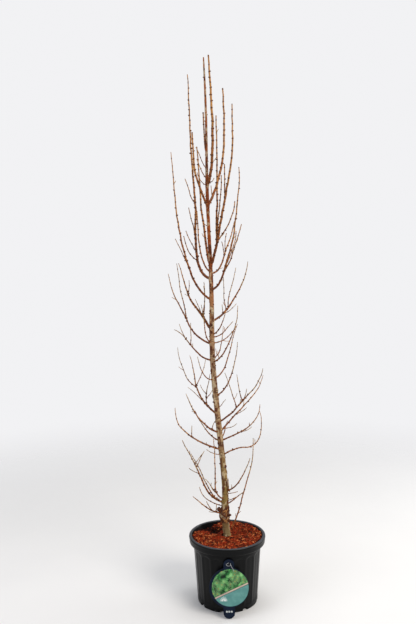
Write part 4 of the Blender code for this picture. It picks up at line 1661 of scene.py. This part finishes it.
@dataclass
class Mulch:
    """Bark mulch: an uneven bed with loose chips of four tones on it."""

    growth: Growth
    pot: Pot
    bed_finish: Material
    chip_finishes: dict[ChipTone, Material]
    level: float = 0.249
    top: float = 0.2555
    swell: float = 0.0013
    slope: float = 0.010
    rim: float = 0.0050
    # Middle across and along, depth and reach of each sunken spot
    hollows: tuple[tuple[float, float, float, float], ...] = (
        (-0.042, 0.064, 0.016, 0.027), (-0.080, 0.094, 0.013, 0.042),
    )
    seat: float = 0.024
    seat_blend: float = 0.02
    foot: float = 0.226
    edge: float = 0.134
    edge_rise: float = 0.020
    wall_gap: float = 0.0010
    bed_sink: float = 0.0012
    # How close and how high the bed's coarse and fine lumps are, and where they fade out
    lumps: tuple[Pair, ...] = ((130, 0.0018), (330, 0.0009))
    lumps_fade: float = 0.03
    chips: int = 4200
    # Middling length, and the spread of its logarithm
    chip_length: Pair = (0.0092, 0.45)
    chip_longest: float = 0.020
    chip_widths: Pair = (0.28, 0.72)
    chip_lifts: Pair = (0.0002, 0.0030)
    chip_thicks: Pair = (0.006, 0.014)
    chip_tilts: Pair = (0.22, 0.20)
    chip_shrink: float = 0.76
    chip_lip_gap: float = 0.0004
    chip_trunk_gap: float = 0.0165
    sunk_depth: float = 0.003
    tone_shares: tuple[float, ...] = (0.38, 0.24, 0.26, 0.12)
    # Tone shares in the sunken spots, weighted to the dark chips as painted shade
    hollow_shade_shares: tuple[float, ...] = (0.16, 0.74, 0.08, 0.02)
    variants: int = 8
    seed: int = 5

    def height_at(self, x: float, y: float) -> float:
        """Gives the mulch's level: flat at the trunk, rising to the wall, with sunken spots."""
        away = math.hypot(x, y - self.growth.trunk_y)
        swell = math.sin(41 * x + 0.7) * math.cos(53 * y - 0.4) + 0.5 * math.sin(97 * x - 71 * y)
        rise = self.swell * swell + self.slope * x
        rise += self.rim * (math.hypot(x, y) / self.pot.mouth_radius) ** 2
        for middle_x, middle_y, depth, reach in self.hollows:
            spread = ((x - middle_x) ** 2 + (y - middle_y) ** 2) / reach**2
            rise -= depth * math.exp(-spread)
        blend = min(1.0, max(0.0, (away - self.seat) / self.seat_blend))
        return min(self.top, self.level + blend * rise)

    def build(self) -> None:
        """Builds the bed and scatters the chips."""
        self.lay_bed()
        self.scatter()

    def lay_bed(self) -> None:
        """Insets a disc into rings, raises it to the mulch's level and roughens it."""
        radius = self.pot.inside(self.foot) - self.wall_gap
        bench = Bench.on_disc("mulch_bed", 120, radius, (0.0, 0.0, self.foot))
        bench.stack([(self.edge_rise, self.edge / radius)])
        bench.stack([(0.0, 0.955)] * 10 + [(0.0, 0.9)] * 14)
        made = bench.close(60.0)
        for point in made.data.vertices:
            if point.co.z < self.foot + 0.001:
                continue
            reach = math.hypot(point.co.x, point.co.y)
            level = self.height_at(point.co.x, point.co.y)
            widest = (self.pot.inside(level) - self.wall_gap) / self.edge
            share = widest if reach > 0.9 * self.edge else 1.0
            wild = sum(noise.noise(point.co * close) * high for close, high in self.lumps)
            away = math.hypot(point.co.x, point.co.y - self.growth.trunk_y)
            point.co.x *= share
            point.co.y *= share
            point.co.z = level - self.bed_sink + wild * min(1, away / self.lumps_fade)
        settle(made, self.bed_finish, ("root_ball",))

    def make_chip(self, index: int) -> Shape:
        """Models one chip of bark: a splintered sliver about a unit long."""
        bench = Bench(
            f"chip_{index}", bpy.ops.mesh.primitive_cube_add, size=1.0, scale=(1.0, 0.34, 0.13),
        )
        bpy.ops.mesh.select_all(action="SELECT")
        bpy.ops.transform.vertex_random(offset=0.05, seed=index)
        for side, grow in ((-1, 0.62), (1, 0.5)):
            bench.pick(lambda place, side=side: place.x * side > 0.35, Pick.FACES)
            bench.extrude((0.16 * side, 0.0, 0.02 * side), 1.0)
            bpy.ops.transform.resize(value=(1.0, grow, 0.6), center_override=(0.6 * side, 0, 0))
        bpy.ops.mesh.select_all(action="SELECT")
        bpy.ops.transform.vertex_random(offset=0.045, seed=index + 40)
        return Shape.taken_from(bench.close(None))

    def scatter(self) -> None:
        """Scatters the chips over the bed, clear of the trunk and inside the lip."""
        dice = random.Random(self.seed)
        shapes = [self.make_chip(index) for index in range(self.variants)]
        heaps = {tone: Heap() for tone in ChipTone}
        tones = list(ChipTone)
        for _ in range(self.chips):
            angle = dice.uniform(0, 2 * math.pi)
            reach = self.pot.mouth_radius * math.sqrt(dice.random())
            x, y = reach * math.cos(angle), reach * math.sin(angle)
            middling, spread = self.chip_length
            length = min(self.chip_longest, dice.lognormvariate(math.log(middling), spread))
            width = length * dice.uniform(*self.chip_widths)
            level = self.height_at(x, y)
            sunk = level < self.level - self.sunk_depth
            # In the sunken spots the dark chips are dealt out more, as painted shade
            tone = dice.choices(tones, self.hollow_shade_shares if sunk else self.tone_shares)[0]
            yaw = dice.uniform(0, 2 * math.pi)
            tilt = [dice.gauss(0, spread) for spread in self.chip_tilts]
            lift = dice.uniform(*self.chip_lifts)
            thick = dice.uniform(*self.chip_thicks)
            shape = shapes[dice.randrange(self.variants)]
            if reach + length * 0.5 > self.pot.inside(level) - self.chip_lip_gap:
                continue
            if math.hypot(x, y - self.growth.trunk_y) < self.chip_trunk_gap + length * 0.35:
                continue
            turn = np.array(Euler((*tilt, yaw)).to_matrix())
            sizes = np.diag((length * self.chip_shrink, width, thick))
            place = np.array([x, y, level + lift])
            heaps[tone].copy(shape, turn @ sizes, place)
        for tone, heap in heaps.items():
            settle(heap.piece(tone.value, False), self.chip_finishes[tone])


# ---------------------------------------------------------------- label


class Ink(Enum):
    """Kinds of print and plastic on the label: name, ground, shade and roughness."""

    NAVY = ("navy_card", "071122", "0b182c", 0.38)
    TEAL = ("teal_ink", "4f7f7c", "5d8e89", 0.38)
    SAND = ("sand_ink", "b8aa98", "a5978a", 0.38)
    WHITE = ("white_ink", "dfe4e2", "cdd4d2", 0.38)
    BLACK = ("pin_black", "1a1c20", "22252a", 0.4)
    WIRE = ("tie_wire", "b9bcc0", "9ea2a8", 0.3)


@dataclass
class Label:
    """The hanging card in front of the pot, its printed fields, its pin and its wire tie."""

    inks: dict[Ink, Material]
    needle_finish: Material
    across: float = 0.0015
    thick: float = 0.002
    foot_y: float = -0.161
    foot_z: float = 0.003
    height: float = 0.2165
    lean: float = 6.95
    disc_radius: float = 0.0735
    disc_height: float = 0.113
    tab_radius: float = 0.020
    foot_radius: float = 0.0215
    eyelet_radius: float = 0.0042
    pin_radius: float = 0.0032
    pin_head: float = 0.0068
    field_radius: float = 0.0680
    field_across: float = 0.0045
    stripe_drop: float = 0.013
    stripe_slope: float = -24.0
    ink_depth: float = 0.00025
    wire_radius: float = 0.00055

    def seat(self) -> Matrix:
        """Gives the move from the card's flat frame (across, out of it, up) to its place."""
        lean = Matrix.Rotation(math.radians(-self.lean), 4, "X")
        return Matrix.Translation((self.across, self.foot_y, self.foot_z)) @ lean

    def eyelet(self) -> float:
        """Gives the eyelet's height on the card."""
        return self.height - self.tab_radius * 0.9

    @staticmethod
    def disc(name: str, radius: float, up: float, front: float, deep: float) -> Bench:
        """Starts a flat disc that faces the front.

        Args:
            name: Name of the piece.
            radius: Radius.
            up: Height of its middle on the card.
            front: How far its face stands in front of the card's back.
            deep: Thickness.

        Returns:
            The bench with the disc.
        """
        return Bench(
            name, bpy.ops.mesh.primitive_cylinder_add, vertices=96, radius=radius, depth=deep,
            location=(0.0, deep / 2 - front, up), rotation=(math.pi / 2, 0.0, 0.0),
        )

    @staticmethod
    def block(name: str, half: float, low: float, high: float, front: float, deep: float) -> Bench:
        """Starts a flat block that faces the front, from its half width and its two heights."""
        return Bench(
            name, bpy.ops.mesh.primitive_cube_add, size=1.0,
            location=(0.0, deep / 2 - front, (low + high) / 2), scale=(2 * half, deep, high - low),
        )

    def build(self) -> None:
        """Builds the card, its printed fields, the pin and the tie."""
        deep = self.thick
        made = self.disc("label_card", self.disc_radius, self.disc_height, deep, deep).close(40.0)
        ends = (
            ("tab", self.tab_radius, self.height - self.tab_radius),
            ("foot", self.foot_radius, self.foot_radius),
        )
        for name, radius, up in ends:
            combine(made, self.disc(name, radius, up, deep, deep).close(None), "UNION")
            low, high = sorted((up, self.disc_height))
            neck = self.block(name + "_neck", radius, low, high, deep, deep)
            combine(made, neck.close(None), "UNION")
        combine(made, self.hole(self.eyelet_radius, self.eyelet(), 0.01), "DIFFERENCE")
        self.place(made, self.inks[Ink.NAVY], replaced=("label",))
        self.print_fields()
        self.print_sprig()
        self.print_marks()
        self.stick_pin()
        self.tie()

    def hole(self, radius: float, up: float, front: float) -> Object:
        """Makes the cutter of a round hole."""
        return self.disc("hole", radius, up, front, 0.02).close(None)

    def place(
        self, made: Object, finish: Material, slot: str = "label_card", replaced: Sequence[str] = ()
    ) -> None:
        """Moves a piece from the card's flat frame to its place and settles it."""
        made.data.transform(self.seat())
        settle(made, finish, replaced)

    def print_fields(self) -> None:
        """Lays the printed fields on the card: needles above, a teal foot, a sand stripe."""
        front, reach = self.thick + self.ink_depth, 0.2
        cut = self.disc_height - self.stripe_drop
        slope = Matrix.Rotation(math.radians(self.stripe_slope), 4, "Y")
        # Name and finish of each field, and its edges: height, and where the cutter starts from it
        rows = (
            ("needle_field", self.needle_finish, ((cut + 0.0045, -reach),)),
            ("teal_field", self.inks[Ink.TEAL], ((cut - 0.0045, 0.0),)),
            ("sand_stripe", self.inks[Ink.SAND], ((cut + 0.0030, 0.0), (cut - 0.0030, -reach))),
        )
        for name, finish, edges in rows:
            bench = self.disc(name, self.field_radius, self.disc_height, front, self.ink_depth)
            made = bench.close(40.0)
            for edge, start in edges:
                low = edge + start
                block = self.block("edge", reach, low, low + reach, front + 0.01, 0.03)
                cutter = block.close(None)
                turn = Matrix.Translation((0, 0, edge)) @ slope
                cutter.data.transform(turn @ Matrix.Translation((0, 0, -edge)))
                combine(made, cutter, "DIFFERENCE")
            made.data.transform(Matrix.Translation((self.field_across, 0.0, 0.0)))
            self.place(made, finish)

    def print_sprig(self) -> None:
        """Prints a plain rosette of needles on the teal field."""
        middle = np.array([-0.020, -self.thick - self.ink_depth, 0.064])
        deep = np.array([0.0, self.ink_depth, 0.0])
        heap = Heap()
        for needle in range(9):
            angle = math.radians(-80 + 20 * needle)
            out = np.array([math.sin(angle), 0.0, math.cos(angle)])
            side = np.array([out[2], 0.0, -out[0]])
            length = 0.019 - 0.004 * abs(math.sin(angle))
            rings = []
            for share, girth in ((0.15, 0.0003), (0.4, 0.0009), (0.75, 0.0008), (1.0, 0.0002)):
                centre = middle + out * length * share
                near, far = centre - side * girth, centre + side * girth
                rings.append([near + deep, far + deep, far - deep, near - deep])
            heap.rings(np.array(rings))
        made = heap.piece("printed_sprig", False)
        bpy.ops.object.select_all(action="DESELECT")
        bpy.context.view_layer.objects.active = made
        bpy.ops.object.mode_set(mode="EDIT")
        bpy.ops.mesh.select_all(action="SELECT")
        bpy.ops.mesh.normals_make_consistent(inside=False)
        bpy.ops.object.mode_set(mode="OBJECT")
        self.place(made, self.inks[Ink.WHITE])

    def print_marks(self) -> None:
        """Prints a row of plain rings on the foot."""
        front, up, spacing = self.thick + self.ink_depth, 0.0260, 0.009
        for index in range(3):
            ring = self.disc(f"foot_mark_{index}", 0.0031, up, front, self.ink_depth).close(40.0)
            combine(ring, self.hole(0.0012, up, front + 0.01), "DIFFERENCE")
            ring.data.transform(Matrix.Translation(((index - 1) * spacing, 0.0, 0.0)))
            self.place(ring, self.inks[Ink.WHITE])

    def stick_pin(self) -> None:
        """Builds the pin that holds the card off the pot, square to the card."""
        face = self.thick
        made = Bench.turned("card_pin", 40, (
            (-0.0085, 0.0020), (-0.0060, self.pin_radius), (face + 0.0004, self.pin_radius),
            (face + 0.0005, self.pin_head), (face + 0.0012, self.pin_head + 0.0002),
            (face + 0.0020, self.pin_head - 0.0003), (face + 0.0028, 0.0048),
            (face + 0.0030, 0.0030),
        )).close(35.0)
        up = Matrix.Translation((0.0, 0.0, self.eyelet())) @ Matrix.Rotation(math.pi / 2, 4, "X")
        made.data.transform(up)
        self.place(made, self.inks[Ink.BLACK], "pin_plastic", ("label_pin",))

    def tie(self) -> None:
        """Builds the thin pale wire hook round the pin, from its tail on the card."""
        front, up = self.thick + 0.0016, self.eyelet()
        # Across, out of the card and up, from the tail round the pin
        knots = (
            (0.0182, 0.0002, -0.0250), (0.0150, 0.0004, -0.0160), (0.0100, 0.0006, -0.0085),
            (0.0058, 0.0010, 0.0038), (0.0072, 0.0008, -0.0018), (0.0022, 0.0008, -0.0050),
            (-0.0050, 0.0006, -0.0048), (-0.0095, 0.0, -0.0020), (-0.0085, 0.0008, 0.0005),
            (-0.0062, 0.0010, 0.0040), (0.0, 0.0012, 0.0062),
        )
        line = smooth_line([(x, -(front + out), up + rise) for x, out, rise in knots], 10)
        heap = Heap()
        dice = np.random.default_rng(3)
        heap.rings(ring_points(line, np.full(len(line), self.wire_radius), 8, 0.0, dice))
        self.place(heap.piece("card_tie"), self.inks[Ink.WIRE], "pin_plastic")


def smooth_line(knots: Sequence[Triple], cuts: int) -> np.ndarray:
    """Draws a smooth line through knots.

    Args:
        knots: Points that it passes.
        cuts: Stretches between two knots.

    Returns:
        Its points.
    """
    spots = np.array([knots[0], *knots, knots[-1]], float)
    line = []
    for first, start, end, last in zip(spots, spots[1:], spots[2:], spots[3:]):
        for share in np.arange(cuts) / cuts:
            a = 2 * start
            b = (end - first) * share
            c = (2 * first - 5 * start + 4 * end - last) * share**2
            d = (3 * start - first - 3 * end + last) * share**3
            line.append((a + b + c + d) / 2)
    return np.array([*line, spots[-1]])


# ---------------------------------------------------------------- studio


@dataclass
class Studio:
    """The camera, the soft lights and the pale floor."""

    eye: Triple = (-0.065, -2.636, 1.358)
    pitch: float = 5.03
    roll: float = -0.63
    lens: float = 40.385
    aim: Triple = (0.0, 0.0, 0.8)
    floor_radius: float = 7.0
    floor_fade: Pair = (0.8, 3.2)
    air: str = "f4f4f6"
    air_strength: float = 0.98
    air_light: float = 0.50

    def set_camera(self) -> None:
        """Stands the camera and makes it the scene's."""
        bpy.ops.object.camera_add(location=self.eye)
        camera = bpy.context.object
        camera.name = "studio_camera"
        turn = Matrix.Rotation(math.radians(90 - self.pitch), 3, "X")
        turn = turn @ Matrix.Rotation(math.radians(self.roll), 3, "Z")
        camera.rotation_euler = turn.to_euler()
        camera.data.lens = self.lens
        camera.data.sensor_width = 36.0
        camera.data.clip_start = 0.05
        bpy.context.scene.camera = camera
        bpy.context.scene.view_settings.view_transform = "Standard"

    def set_light(self) -> None:
        """Hangs the soft lights and fills the air with pale light."""
        # Name, place, size, power and colour of each
        rows = (
            ("key_light", (2.9, -3.15, 3.6), 2.6, 195.0, "fff8f0"),
            ("fill_light", (-2.6, -1.8, 2.0), 2.2, 38.0, "f4f6ff"),
            ("edge_light", (2.5, 0.9, 0.9), 1.2, 22.0, "ffffff"),
            ("top_light", (0.2, 0.6, 4.0), 2.4, 52.0, "ffffff"),
        )
        for name, place, size, power, code in rows:
            bpy.ops.object.light_add(type="AREA", location=place)
            lamp = bpy.context.object
            lamp.name = name
            lamp.data.shape = "DISK"
            lamp.data.size = size
            lamp.data.energy = power
            lamp.data.color = tint(code)[:3]
            aim = Vector(self.aim) - lamp.location
            lamp.rotation_euler = aim.to_track_quat("-Z", "Y").to_euler()
        world = bpy.context.scene.world or bpy.data.worlds.new("air")
        bpy.context.scene.world = world
        world.use_nodes = True
        tree = world.node_tree
        air = tree.nodes["Background"]
        air.inputs["Color"].default_value = tint(self.air)
        seen = tree.nodes.new("ShaderNodeLightPath").outputs["Is Camera Ray"]
        share = tree.nodes.new("ShaderNodeMapRange")
        share.inputs["To Min"].default_value = self.air_light
        share.inputs["To Max"].default_value = self.air_strength
        tree.links.new(seen, share.inputs["Value"])
        tree.links.new(share.outputs["Result"], air.inputs["Strength"])

    def lay_floor(self) -> None:
        """Lays a pale floor that fades into the air around it."""
        made = Bench.on_disc("floor", 96, self.floor_radius, (0.0, 0.0, -0.0005)).close(None)
        made.data.materials.append(self.floor_finish())

    def floor_finish(self) -> Material:
        """Builds the floor's material, plain near the pot and clear far from it."""
        graph = Graph("pale_floor")
        across, along, _ = graph.axes()
        reach = (across * across + along * along) ** 0.5
        cloud = graph.clouds(3.0, 2.0)
        body = graph.mix(cloud, "dcdcdc", "e1e1e0")
        graph.finish(body, 0.6, Specular_IOR_Level=0.25)
        fade = reach.step(*self.floor_fade)
        clear = graph.node("ShaderNodeBsdfTransparent")
        shader = Wire(graph, graph.shader.outputs[0])
        mixed = graph.node("ShaderNodeMixShader", None, {0: fade, 1: shader, 2: clear})
        graph.links.new(mixed.socket, graph.output.inputs["Surface"])
        return graph.material


def main() -> None:
    """Builds every piece in order."""
    logging.basicConfig(level=logging.INFO, format="%(name)s: %(message)s")
    studio = Studio()
    studio.set_camera()
    growth = Growth()
    growth.grow()
    LOG.info("%d stems, %d nodes", len(growth.stems), len(growth.nodes))
    scar = TwigBark("spur_bark", "5c3119", "3a1e0f", "7e4f2e").make()
    bud = TwigBark("bud_scale", "6e4322", "472710", "946434").make()
    woods = {
        Age.BOUGH: TwigBark("bough_wood", "76401d", "4e240f", "9c6e42"),
        Age.OLD: TwigBark("older_wood", "864c22", "582c12", "ae824e"),
        Age.RIPE: TwigBark("brown_wood", "8f5829", "643816", "bc9056"),
        Age.YOUNG: TwigBark("orange_wood", "a1703a", "724722", "cca064"),
        Age.FINE: TwigBark("pale_wood", "9e7c4c", "72562c", "c8aa7a"),
    }
    cork = TwigBark("graft_cork", "9a6a3c", "6a4422", "c49a66").make()
    Trunk(growth, TrunkBark().make(), scar, cork).build()
    Crown(growth, {age: wood.make() for age, wood in woods.items()}, scar, bud).build()
    pot = Pot(PotPlastic().make())
    pot.build()
    chips = {
        ChipTone.RUST: BarkChip("rust_bark", "882b0b", "521504", "c4652a"),
        ChipTone.DARK: BarkChip("dark_bark", "3e0f06", "1e0702", "7a3014"),
        ChipTone.RED: BarkChip("red_bark", "a0310e", "6a1806", "da7038"),
        ChipTone.PALE: BarkChip("pale_bark", "cf7c46", "a04c22", "eab27a"),
    }
    bed = BarkChip("mulch_ground", "2a0c05", "140502", "4a190a").make()
    Mulch(growth, pot, bed, {tone: chip.make() for tone, chip in chips.items()}).build()
    Label({kind: CardInk(*kind.value).make() for kind in Ink}, NeedlePrint().make()).build()
    studio.set_light()
    studio.lay_floor()


if __name__ == "__main__":
    main()
